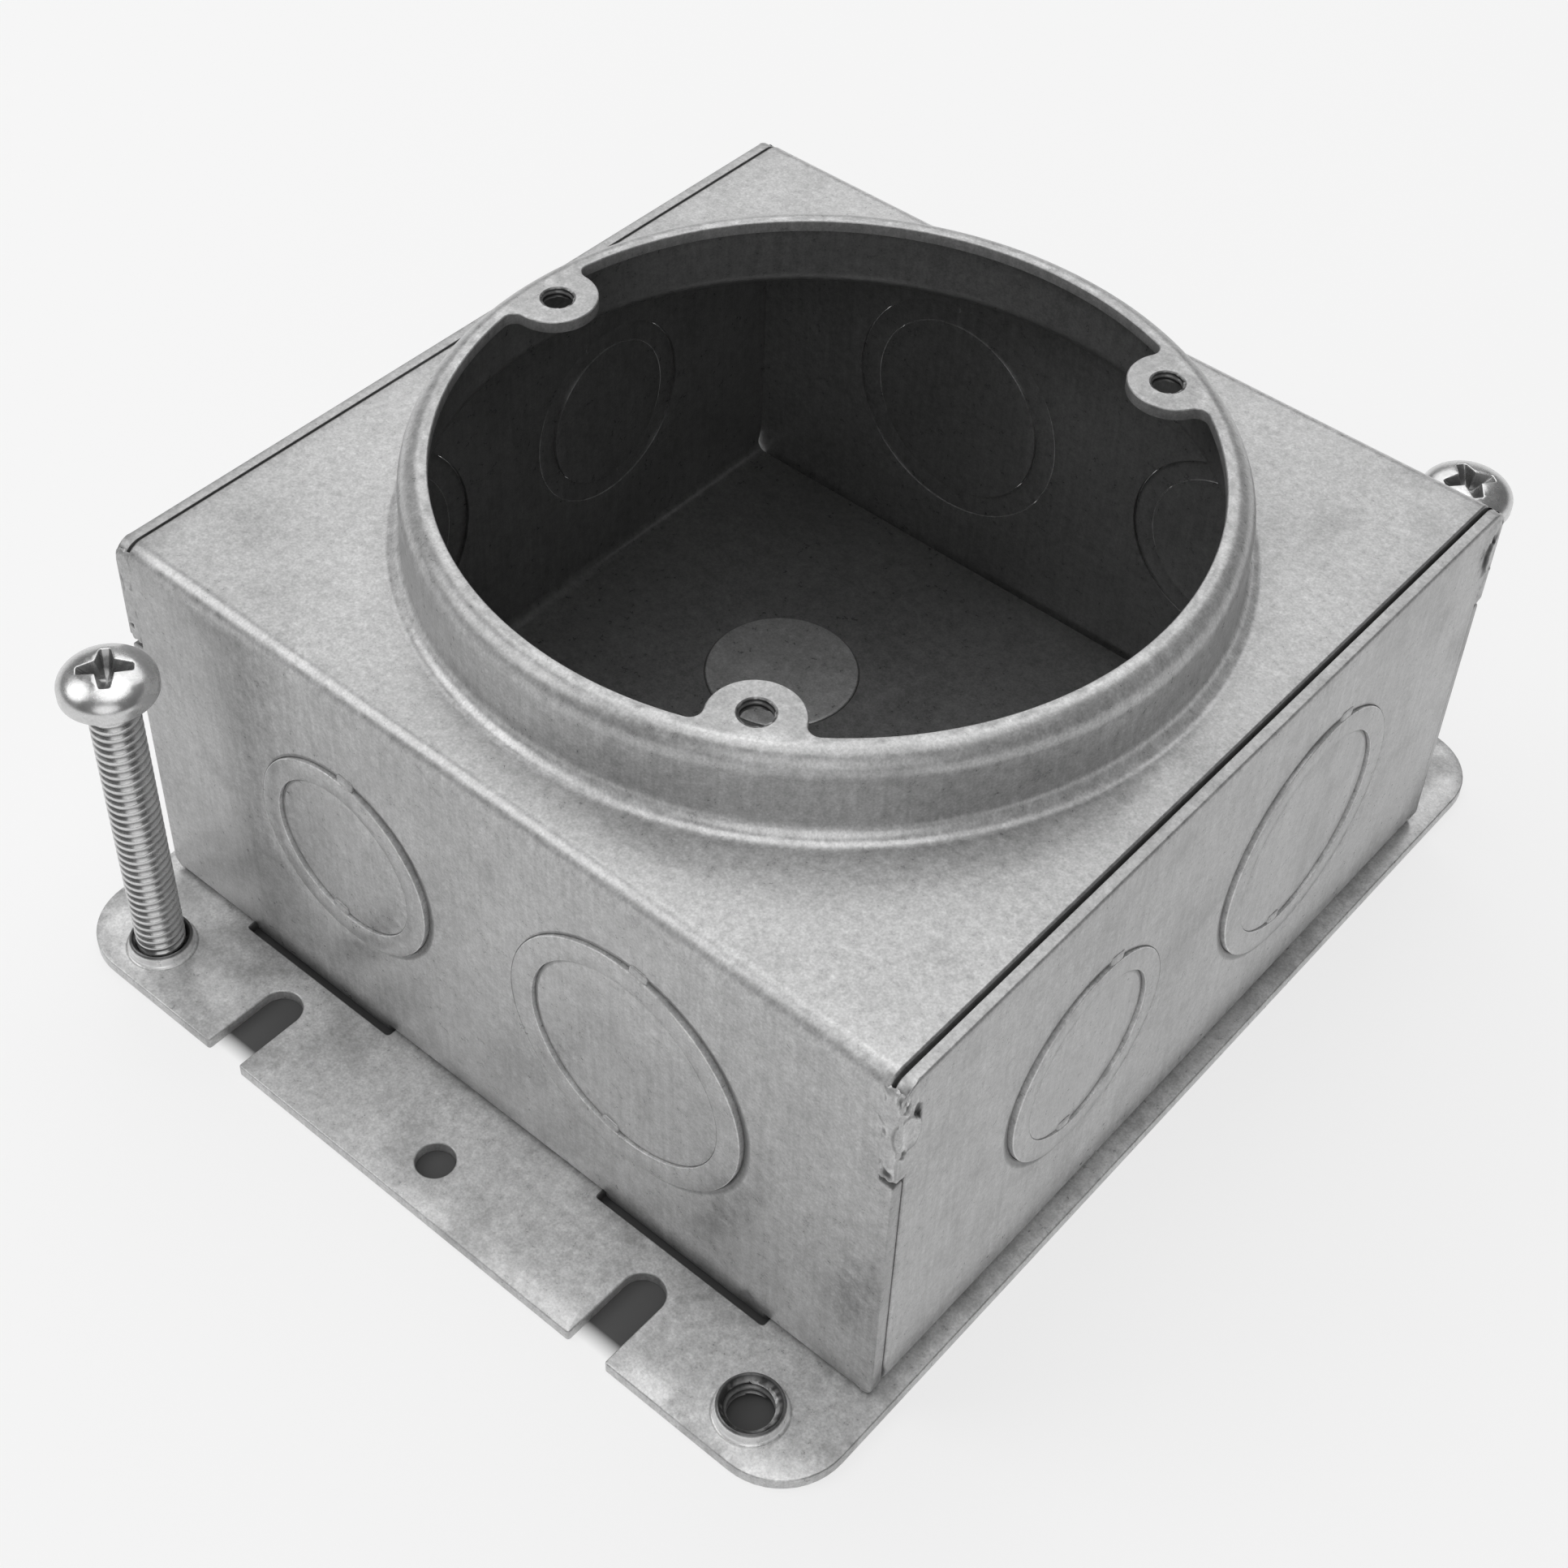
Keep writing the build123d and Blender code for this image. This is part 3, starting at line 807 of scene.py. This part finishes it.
def ear_thread(skin, centre):
    """Countersunk, tapped hole of an ear."""
    top = RIM_FACE - EAR_HOLE_EDGE
    low = RIM_FACE - SHEET + EAR_HOLE_EDGE
    wide = EAR_HOLE + EAR_HOLE_EDGE
    # The countersink gets painted shade towards the hole
    revolve(skin, [(wide, RIM_FACE), (EAR_HOLE, top)], ROUND_HOLE, centre, finish_and_painted_light=(1.0, 0.6))
    nut_thread(skin, centre, low, top, EAR_HOLE, EAR_THREAD_DEPTH, EAR_PITCH)
    revolve(skin, [(EAR_HOLE, low), (wide, RIM_FACE - SHEET)], ROUND_HOLE, centre)


def opening_outline():
    """Edge of the collar's opening, clockwise, running round the ears."""
    fillet_r = OPENING_R - EAR_FILLET
    reach = EAR_RADIUS + EAR_FILLET
    swing = math.acos((EAR_REACH ** 2 + fillet_r ** 2 - reach ** 2) / (2 * EAR_REACH * fillet_r))
    centre = np.array([fillet_r * math.cos(swing), -fillet_r * math.sin(swing)])
    ear = np.array([EAR_REACH, 0.0])
    toward = math.atan2(*(ear - centre)[::-1])
    touch = math.atan2(*(centre - ear)[::-1]) % (2 * math.pi)
    foot = arc(centre, EAR_FILLET, -swing, toward, 8)
    tip = arc(ear, EAR_RADIUS, touch, 2 * math.pi - touch, 40)
    mirror = foot[::-1] * (1, -1)
    one = np.concatenate([foot[:-1], tip[:-1], mirror])
    points = []
    spread = 2 * math.pi / len(EAR_ANGLES)
    for angle in EAR_ANGLES:
        a = math.radians(angle)
        turn = np.array([[math.cos(a), math.sin(a)], [-math.sin(a), math.cos(a)]])
        points.append(one @ turn)
        points.append(arc((0, 0), OPENING_R, a + swing, a + spread - swing, 50)[1:-1])
    return np.concatenate(points)[::-1]


def side_channel():
    """Floor with its knockout, and both side walls with knockouts and tongues."""
    skin = Skin()
    flat = HALF_WIDTH - CHANNEL_BEND
    wall = flat + CHANNEL_BEND * math.pi / 2
    end = HALF_DEPTH - SHEET - SEAM
    relief = end - CORNER_RELIEF[0] / 2
    bends = list(np.linspace(flat, wall, BEND_STEPS + 1))
    relief_top = channel_run(FLOOR_TOP + CORNER_RELIEF[1])
    tongue = channel_run(TONGUE_FOOT)
    lip = channel_run(LIP_TOP)
    side = [(relief, s, 0) for s in bends]
    side += [(end, relief_top, 0.5), (end, tongue, 0.3)]
    side += [(HALF_DEPTH, tongue, 0.4), (HALF_DEPTH, lip, SHELL_BEND)]
    right = side + [(-u, s, r) for u, s, r in reversed(side)]
    edge = outline(right + [(-u, -s, r) for u, s, r in right])
    holes = []
    for turn in (-1, 1):
        middle = channel_run(KNOCKOUT_HEIGHT) * turn
        for along, outer, _ in WALL_KNOCKOUTS:
            holes.append(knockout_hole(np.array([turn * along, middle]), outer, CHANNEL_LEAN, turn))
    floor_hole = circle(FLOOR_KNOCKOUT[::-1], HALF_INCH, ROUND_KNOCKOUT, hole=True)
    extra = []
    for sign in (-1, 1):
        extra += bend_rows(sign * flat, sign * wall, relief)
    rolled = np.where(np.abs(edge[:, 1]) > lip - MERGE, LIP_ROUND, EDGE_OUT)
    # The floor knockout's edge gets painted shade
    free = [(edge, rolled, rolled, EDGE_IN, 0.9), (floor_hole, 0.05, 0.05, EDGE_IN, NARROW_PAINTED_SHADE)] + holes
    # Painted shade on the channel's inner faces
    sheet(skin, channel_fold, free, extra=extra, inner=INSIDE_PAINTED_SHADE)
    for turn in (-1, 1):
        for along, outer, inner in WALL_KNOCKOUTS:
            place = wall_place((turn * HALF_WIDTH, 0.0), (0.0, turn * 1.0), along)
            knockout(skin, place, outer, inner, CHANNEL_LEAN, CHANNEL_BRIDGE)
    floor_slug(skin)
    return skin.make("side_channel_formed")


def floor_slug(skin):
    """Round slug in the floor, pressed up a little."""
    disc = circle((0, 0), HALF_INCH - SLUG_GAP, ROUND_KNOCKOUT)

    def place(points, depth):
        w = np.broadcast_to(depth, len(points))
        return np.column_stack([points + FLOOR_KNOCKOUT, FLOOR_TOP + w])
    # Painted shade on the slug's rolled edge and under face
    slug(skin, place, [(disc, 0.25, 0.15, 0.05, INSIDE_PAINTED_SHADE)], lambda p: lean(p, FLOOR_LEAN, HALF_INCH, 0.2, 0.15))


def base_plate():
    """Flat plate with notches, slots for the tabs, fixing holes, a window and four bosses."""
    skin = Skin()
    wide, deep = PLATE_HALF
    notch = NOTCH_WIDTH / 2
    nearly_half = notch * 0.999
    bottom = deep - NOTCH_DEPTH
    notches = []
    for x in (NOTCH_PLACE, -NOTCH_PLACE):
        notches += [(x + notch, deep, 0.4), (x + notch, bottom, nearly_half),
                    (x - notch, bottom, nearly_half), (x - notch, deep, 0.4)]
    back = [(wide, deep, PLATE_CORNER)] + notches + [(-wide, deep, PLATE_CORNER)]
    edge = outline(back + [(-x, -y, r) for x, y, r in back], steps=12)
    free = [cut(edge)]
    joined = []
    slot_half = TAB_LENGTH / 2 + TAB_SIDE_PLAY
    slot_out = HALF_DEPTH + SLOT_REACH
    slot_in = HALF_DEPTH - TAB_DEPTH - TAB_END_PLAY
    for side in (-1, 1):
        hole = circle((0.0, side * BOSS_Y), FIXING_HOLE, ROUND_HOLE, hole=True)
        free.append(cut(hole))
        for x in (NOTCH_PLACE, -NOTCH_PLACE):
            corners = [(x - slot_half, side * slot_in, 0.4), (x - slot_half, side * slot_out, 0.4),
                       (x + slot_half, side * slot_out, 0.4), (x + slot_half, side * slot_in, 0.4)]
            # Turned round in front, so that every slot runs clockwise, as a hole does
            # The slots' edges get painted shade
            free.append(cut(outline(corners[::side], steps=4), NARROW_PAINTED_SHADE))
    window = circle(FLOOR_KNOCKOUT, HALF_INCH + WINDOW_MARGIN, ROUND_KNOCKOUT, hole=True)
    free.append(cut(window))
    screws = ((-1, -1), (1, 1))
    for sx in (-1, 1):
        for sy in (-1, 1):
            centre = (sx * BOSS_X, sy * BOSS_Y)
            joined.append(boss(skin, centre, (sx, sy) in screws))
    sheet(skin, plate_place, free, joined)
    return skin.make("base_plate_formed")


def boss(skin, centre, filled):
    """Tapped boss with a rolled rim. A filled one holds a screw, so its bore is plain here. Returns the
    boss's outlines on the plate's top and underside."""
    radius = BOSS_BORE + BOSS_WALL
    top = PLATE_TOP + BOSS_RISE
    bore_top = top - BOSS_BORE_DROP
    foot = arc_profile((radius + BOSS_FOOT, PLATE_TOP + BOSS_FOOT), BOSS_FOOT, 270, 180, 6)
    rim = arc_profile((radius - BOSS_EDGE, top - BOSS_EDGE), BOSS_EDGE, 0, 75, 7)
    mouth = [(BOSS_BORE + BOSS_MOUTH, top - BOSS_MOUTH_DROP), (BOSS_BORE, bore_top)]
    # Painted shade in the crease at the boss's foot, painted highlight on its flank and rim, and painted
    # shade down the rim's inner slope and mouth
    foot_painted_light = [1.0, 0.6, 1.1] + [1.6] * (len(foot) - 3)
    rim_painted_light = [1.6, 1.6, 1.1, 0.6] + [0.25] * (len(rim) - 4)
    mouth_painted_shade = [0.1, 0.08]
    revolve(skin, foot + rim + mouth, ROUND_HOLE, centre, finish_and_painted_light=foot_painted_light + rim_painted_light + mouth_painted_shade)
    if filled:
        # The plain bore gets painted shade
        revolve(skin, [(BOSS_BORE, bore_top), (BOSS_BORE, BOSS_MOUTH)], ROUND_HOLE, centre, finish_and_painted_light=NARROW_PAINTED_SHADE)
    else:
        nut_thread(skin, centre, BOSS_MOUTH, bore_top, BOSS_BORE, THREAD_DEPTH, SCREW_PITCH)
    revolve(skin, [(BOSS_BORE, BOSS_MOUTH), (BOSS_BORE + BOSS_MOUTH, 0.0)], ROUND_HOLE, centre)
    return (circle(centre, radius + BOSS_FOOT, ROUND_HOLE, hole=True),
            circle(centre, BOSS_BORE + BOSS_MOUTH, ROUND_HOLE, hole=True))


# Levelling screws

def levelling_screw(name, centre):
    """Machine screw with a pan head, whose tip is at the height SCREW_TIP."""
    skin = Skin()
    low = SCREW_TIP
    seat = low + SCREW_LENGTH
    root = SCREW_RADIUS - THREAD_DEPTH
    inward, upward = TIP_CHAMFER
    revolve(skin, [(0.0, low), (root - inward, low), (root, low + upward)], ROUND_HOLE, centre)
    shaft(skin, centre, low + upward, seat - SCREW_NECK)
    screw_head(skin, centre, seat)
    return skin.make(name, sharp=50.0)


def shaft(skin, centre, low, high):
    """Threaded shank. Its thread fades out at the tip and below the head, and has painted shade in its roots.
    """
    shape = (0.0, 0.0, 0.0, 0.3, 0.85, 1.0, 0.85, 0.3)
    root = SCREW_RADIUS - THREAD_DEPTH

    def radius_at(share, z):
        fade = np.clip(np.minimum(z - low, high - z) / THREAD_FADE, 0, 1)
        crest = root + (SCREW_RADIUS - root) * fade
        return root + (crest - root) * (1 - share)

    # The thread's roots get painted shade
    helix(skin, centre, low, high, SCREW_PITCH, shape, radius_at, root, lambda share: 1 - 0.5 * share)


def cross(reach, tip, root, soft):
    """Outline of a cross whose four wings narrow from root to tip, clockwise."""
    corners = []
    for k in range(4):
        a = math.radians(RECESS_ANGLE + 90 * k)
        along = np.array([math.cos(a), math.sin(a)])
        across = np.array([-along[1], along[0]])
        corners.append((*(along * root - across * root), 0.6 * soft))
        corners.append((*(along * reach - across * tip), soft))
        corners.append((*(along * reach + across * tip), soft))
    return outline(corners, step=SCREW_LENGTH, steps=5)[::-1]


def screw_head(skin, centre, seat):
    """Domed pan head with a tapered cross recess."""
    rise = HEAD_HEIGHT - HEAD_SIDE
    middle = np.array(centre)

    def crown(points, depth):
        r = np.linalg.norm(points, axis=1) / HEAD_RADIUS
        z = seat + HEAD_SIDE + rise * np.sqrt(np.maximum(1 - r ** 2, 0)) + depth
        return np.column_stack([points + middle, z])

    head = [(SCREW_RADIUS - THREAD_DEPTH, seat - SCREW_NECK), (SCREW_RADIUS - 0.1, seat)]
    head += [(HEAD_RADIUS - HEAD_EDGE, seat)]
    head += arc_profile((HEAD_RADIUS - HEAD_EDGE, seat + HEAD_EDGE), HEAD_EDGE, 270, 360, 4)
    for a in np.linspace(0, math.acos(HEAD_CROWN / HEAD_RADIUS), 10):
        head.append((HEAD_RADIUS * math.cos(a), seat + HEAD_SIDE + rise * math.sin(a)))
    revolve(skin, head, 2 * ROUND_HOLE, centre)
    mouth = cross(*RECESS_MOUTH)
    foot = cross(*RECESS_FLOOR)
    verts, tris = fill([circle((0, 0), HEAD_CROWN, 2 * ROUND_HOLE), inset(mouth, RECESS_EDGE)], (), 0.5)
    skin.add(crown(verts, 0.0), tris)
    rows = [crown(inset(mouth, RECESS_EDGE * (1 - math.sin(a))), -RECESS_EDGE * (1 - math.cos(a)))
            for a in np.linspace(0, math.pi / 2, 4)]
    floor_row = np.column_stack([foot + middle, np.full(len(foot), seat + HEAD_HEIGHT - RECESS_DEPTH)])
    rows += [rows[3] + (floor_row - rows[3]) * share for share in (0.33, 0.67, 1.0)]
    # Painted highlight on the recess's rolled mouth, and painted shade down into the recess
    skin.strips(rows, finish_and_painted_light=(1.0, 1.2, 1.1, 0.6, 0.4, 0.35, 0.3))
    tip = np.array([[*centre, seat + HEAD_HEIGHT - RECESS_DEPTH - RECESS_POINT]])
    count = len(foot)
    # The recess's point gets painted shade
    skin.add(np.concatenate([floor_row, tip]), [(i, (i + 1) % count, count) for i in range(count)], 0.45)


# Materials

# Middle part of a noise's values, where nearly all of them lie, and the upper part that makes stains
MOST = (0.3, 0.7)
STAINED = (0.5, 0.68)


def new_material(name):
    material = bpy.data.materials.new(name)
    material.use_nodes = True
    return material, material.node_tree.nodes, material.node_tree.links


def noise(nodes, links, size, detail, roughness, stretch=(1, 1, 1), distortion=0.0):
    """Noise in object space whose features are about the size across that is given, in millimetres."""
    place = nodes.new("ShaderNodeTexCoord")
    mapping = nodes.new("ShaderNodeMapping")
    mapping.inputs["Scale"].default_value = stretch
    texture = nodes.new("ShaderNodeTexNoise")
    texture.inputs["Scale"].default_value = 1 / (size * MM)
    texture.inputs["Detail"].default_value = detail
    texture.inputs["Roughness"].default_value = roughness
    texture.inputs["Distortion"].default_value = distortion
    links.new(place.outputs["Object"], mapping.inputs["Vector"])
    links.new(mapping.outputs["Vector"], texture.inputs["Vector"])
    return texture.outputs["Fac"]


def remap(nodes, links, value, span, result):
    """A value clamped to a span and carried over to another."""
    node = nodes.new("ShaderNodeMapRange")
    node.inputs["From Min"].default_value, node.inputs["From Max"].default_value = span
    node.inputs["To Min"].default_value, node.inputs["To Max"].default_value = result
    links.new(value, node.inputs["Value"])
    return node.outputs["Result"]


def join(nodes, links, operation, first, second):
    """Two values joined by a math operation."""
    node = nodes.new("ShaderNodeMath")
    node.operation = operation
    links.new(first, node.inputs[0])
    links.new(second, node.inputs[1])
    return node.outputs[0]


def finish_and_painted_light_of(nodes):
    """The mesh's colour factor at a point: darker cut edges, and painted light and shade."""
    node = nodes.new("ShaderNodeAttribute")
    node.attribute_name = "finish_and_painted_light"
    return node.outputs["Fac"]


def galvanised(name, tone, stain):
    """Zinc coat: mottle over soft clouds, fine grain, rolling streaks down the walls, and darker, rougher
    stains. The mesh's colour factor adds painted light and shade.
    """
    material, nodes, links = new_material(name)
    shader = nodes["Principled BSDF"]
    shader.inputs["Metallic"].default_value = 0.45
    clouds = noise(nodes, links, 24, 3, 0.5)
    mottle = noise(nodes, links, 1.3, 4, 0.6)
    grain = noise(nodes, links, 0.3, 2, 0.6)
    streaks = noise(nodes, links, 0.7, 3, 0.6, stretch=(1, 1, 0.05))
    blotches = noise(nodes, links, 10, 4, 0.6)
    parts = [
        remap(nodes, links, clouds, MOST, (0.93 * tone, 1.08 * tone)),
        remap(nodes, links, mottle, MOST, (0.84, 1.16)),
        remap(nodes, links, grain, MOST, (0.84, 1.16)),
        remap(nodes, links, streaks, MOST, (0.91, 1.09)),
        remap(nodes, links, blotches, STAINED, (1.0, stain)),
        finish_and_painted_light_of(nodes),
    ]
    colour = parts[0]
    for part in parts[1:]:
        colour = join(nodes, links, "MULTIPLY", colour, part)
    links.new(colour, shader.inputs["Base Color"])
    rough = join(nodes, links, "ADD", remap(nodes, links, mottle, MOST, (0.26, 0.38)),
                 remap(nodes, links, blotches, STAINED, (0.0, 0.1)))
    links.new(rough, shader.inputs["Roughness"])
    relief = nodes.new("ShaderNodeBump")
    relief.inputs["Strength"].default_value = 0.45
    relief.inputs["Distance"].default_value = 0.03 * MM
    height = join(nodes, links, "ADD", mottle, remap(nodes, links, grain, (0, 1), (0, 0.22)))
    waves = remap(nodes, links, clouds, (0, 1), (0, 5.0))
    links.new(join(nodes, links, "ADD", height, waves), relief.inputs["Height"])
    links.new(relief.outputs["Normal"], shader.inputs["Normal"])
    return material


def bright_zinc(name):
    """Plated screw: clean and glossy, with slight clouding and fine marks."""
    material, nodes, links = new_material(name)
    shader = nodes["Principled BSDF"]
    shader.inputs["Metallic"].default_value = 0.8
    clouds = noise(nodes, links, 2.5, 5, 0.6)
    marks = noise(nodes, links, 0.35, 3, 0.6)
    colour = join(nodes, links, "MULTIPLY", remap(nodes, links, clouds, MOST, (0.6, 0.76)),
                  remap(nodes, links, marks, MOST, (0.92, 1.06)))
    # The mesh's colour factor brings in painted shade in the recess and the thread roots
    links.new(join(nodes, links, "MULTIPLY", colour, finish_and_painted_light_of(nodes)), shader.inputs["Base Color"])
    links.new(remap(nodes, links, clouds, MOST, (0.2, 0.32)), shader.inputs["Roughness"])
    relief = nodes.new("ShaderNodeBump")
    relief.inputs["Strength"].default_value = 0.4
    relief.inputs["Distance"].default_value = 0.02 * MM
    links.new(marks, relief.inputs["Height"])
    links.new(relief.outputs["Normal"], shader.inputs["Normal"])
    return material


# Studio

def studio_world():
    """Pale at the horizon, where it meets the floor, and dark above, so that the inside stays dark."""
    world = bpy.data.worlds.new("studio")
    bpy.context.scene.world = world
    world.use_nodes = True
    nodes, links = world.node_tree.nodes, world.node_tree.links
    place = nodes.new("ShaderNodeTexCoord")
    split = nodes.new("ShaderNodeSeparateXYZ")
    links.new(place.outputs["Generated"], split.inputs["Vector"])
    band_degrees = (4, 10)
    horizon_light, sky_light = 0.75, 0.07
    height = nodes.new("ShaderNodeMapRange")
    height.interpolation_type = "SMOOTHSTEP"
    height.inputs["From Min"].default_value = math.sin(math.radians(band_degrees[0]))
    height.inputs["From Max"].default_value = math.sin(math.radians(band_degrees[1]))
    height.inputs["To Min"].default_value = horizon_light
    height.inputs["To Max"].default_value = sky_light
    links.new(split.outputs["Z"], height.inputs["Value"])
    back = nodes["Background"]
    back.inputs["Color"].default_value = (1, 1, 1, 1)
    links.new(height.outputs["Result"], back.inputs["Strength"])


def lights():
    """Soft lamps about the box: direction and height in degrees, width in metres, power in watts."""
    reach = 1.0
    aim = (0.0, 0.0, 0.03)
    lamps = {
        "behind": (127, 50, 1.1, 4.2),
        "left": (216, 43, 0.65, 2.2),
        "front": (308, 34, 0.8, 1.9),
        "above": (0, 90, 0.8, 2.9),
    }
    for name, (turn, height, width, power) in lamps.items():
        a, e = math.radians(turn), math.radians(height)
        toward = Vector((math.cos(a) * math.cos(e), math.sin(a) * math.cos(e), math.sin(e)))
        lamp(name, Vector(aim) + reach * toward, aim, width, power)


def floor():
    """Pale floor. The camera, and metal and glass, see it nearly white, and it keeps the object's shadow.
    Under the plate it is painted dark, a painted shade, so that holes look down into the dark."""
    half = 12.0
    dark, pale = 0.12, 0.86
    white_share = 0.72
    fade = (PLATE_CORNER - 3.5, PLATE_CORNER - 1)
    mesh = bpy.data.meshes.new("floor")
    corners = [(-half, -half, 0), (half, -half, 0), (half, half, 0), (-half, half, 0)]
    mesh.from_pydata(corners, [], [(0, 1, 2, 3)])
    obj = bpy.data.objects.new("floor", mesh)
    bpy.context.scene.collection.objects.link(obj)
    material, nodes, links = new_material("pale_floor")
    shader = nodes["Principled BSDF"]
    shader.inputs["Roughness"].default_value = 0.9
    shader.inputs["Specular IOR Level"].default_value = 0.0
    away = nodes.new("ShaderNodeTexCoord").outputs["Object"]
    straight = [(reach - PLATE_CORNER) * MM for reach in PLATE_HALF]
    steps = (("ABSOLUTE", None), ("SUBTRACT", (*straight, 0)), ("MAXIMUM", (0, 0, 0)), ("LENGTH", None))
    for operation, by in steps:
        step = nodes.new("ShaderNodeVectorMath")
        step.operation = operation
        links.new(away, step.inputs[0])
        if by:
            step.inputs[1].default_value = by
        away = step.outputs["Value" if operation == "LENGTH" else "Vector"]
    clear = remap(nodes, links, away, (fade[0] * MM, fade[1] * MM), (0, 1))
    # Under the plate the floor's colour is a painted shade
    bare = remap(nodes, links, clear, (0, 1), (dark, pale))
    links.new(bare, shader.inputs["Base Color"])
    white = nodes.new("ShaderNodeEmission")
    rays = nodes.new("ShaderNodeLightPath")
    seen = join(nodes, links, "MAXIMUM", rays.outputs["Is Camera Ray"], rays.outputs["Is Glossy Ray"])
    seen = join(nodes, links, "MAXIMUM", seen, rays.outputs["Is Transmission Ray"])
    share = join(nodes, links, "MULTIPLY", seen, remap(nodes, links, clear, (0, 1), (0, white_share)))
    blend = nodes.new("ShaderNodeMixShader")
    links.new(share, blend.inputs["Fac"])
    links.new(shader.outputs["BSDF"], blend.inputs[1])
    links.new(white.outputs["Emission"], blend.inputs[2])
    links.new(blend.outputs["Shader"], nodes["Material Output"].inputs["Surface"])
    mesh.materials.append(material)
    obj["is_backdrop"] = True


def lamp(name, place, aim, size, power):
    light = bpy.data.lights.new(name, "AREA")
    light.shape = "DISK"
    light.size = size
    light.energy = power
    obj = bpy.data.objects.new(name, light)
    obj.location = place
    obj.rotation_euler = (Vector(aim) - Vector(place)).to_track_quat("-Z", "Y").to_euler()
    bpy.context.scene.collection.objects.link(obj)


def camera():
    """The photograph's view: a long lens above the near corner."""
    frame_px = 1932
    focal_px = 3211
    axis_row_px = 820
    place = (0.14398, -0.18553, 0.26384)
    turn_degrees = (45.657, -1.800, 40.561)
    data = bpy.data.cameras.new("camera")
    data.sensor_width = 36.0
    data.lens = focal_px / frame_px * data.sensor_width
    data.shift_y = (axis_row_px - frame_px / 2) / frame_px
    data.clip_start = 0.01
    obj = bpy.data.objects.new("camera", data)
    obj.location = place
    obj.rotation_euler = [math.radians(a) for a in turn_degrees]
    bpy.context.scene.collection.objects.link(obj)
    bpy.context.scene.camera = obj


def dress(obj, material, body, node):
    """Gives a piece its material, and sets it on its body in place of a node."""
    obj.data.materials.append(material)
    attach(obj, body)
    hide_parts(node)


def main():
    bpy.context.scene.view_settings.view_transform = "Standard"
    zinc_sheet = galvanised("zinc_sheet", 0.48, 0.93)
    plate_sheet = galvanised("plate_sheet", 0.68, 0.72)
    zinc_screw = bright_zinc("zinc_screw")
    dress(collar_shell(), zinc_sheet, "box", "collar_shell")
    dress(side_channel(), zinc_sheet, "box", "side_channel")
    dress(base_plate(), plate_sheet, "box", "base_plate")
    for corner, sign in (("front_left", -1), ("back_right", 1)):
        screw = levelling_screw("screw_" + corner, (sign * BOSS_X, sign * BOSS_Y))
        dress(screw, zinc_screw, "screw_" + corner, "levelling_screw_" + corner)
    studio_world()
    floor()
    lights()
    camera()


main()
[[list(map(float, corner)) for corner in box] for box in (cad_bounds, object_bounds())]
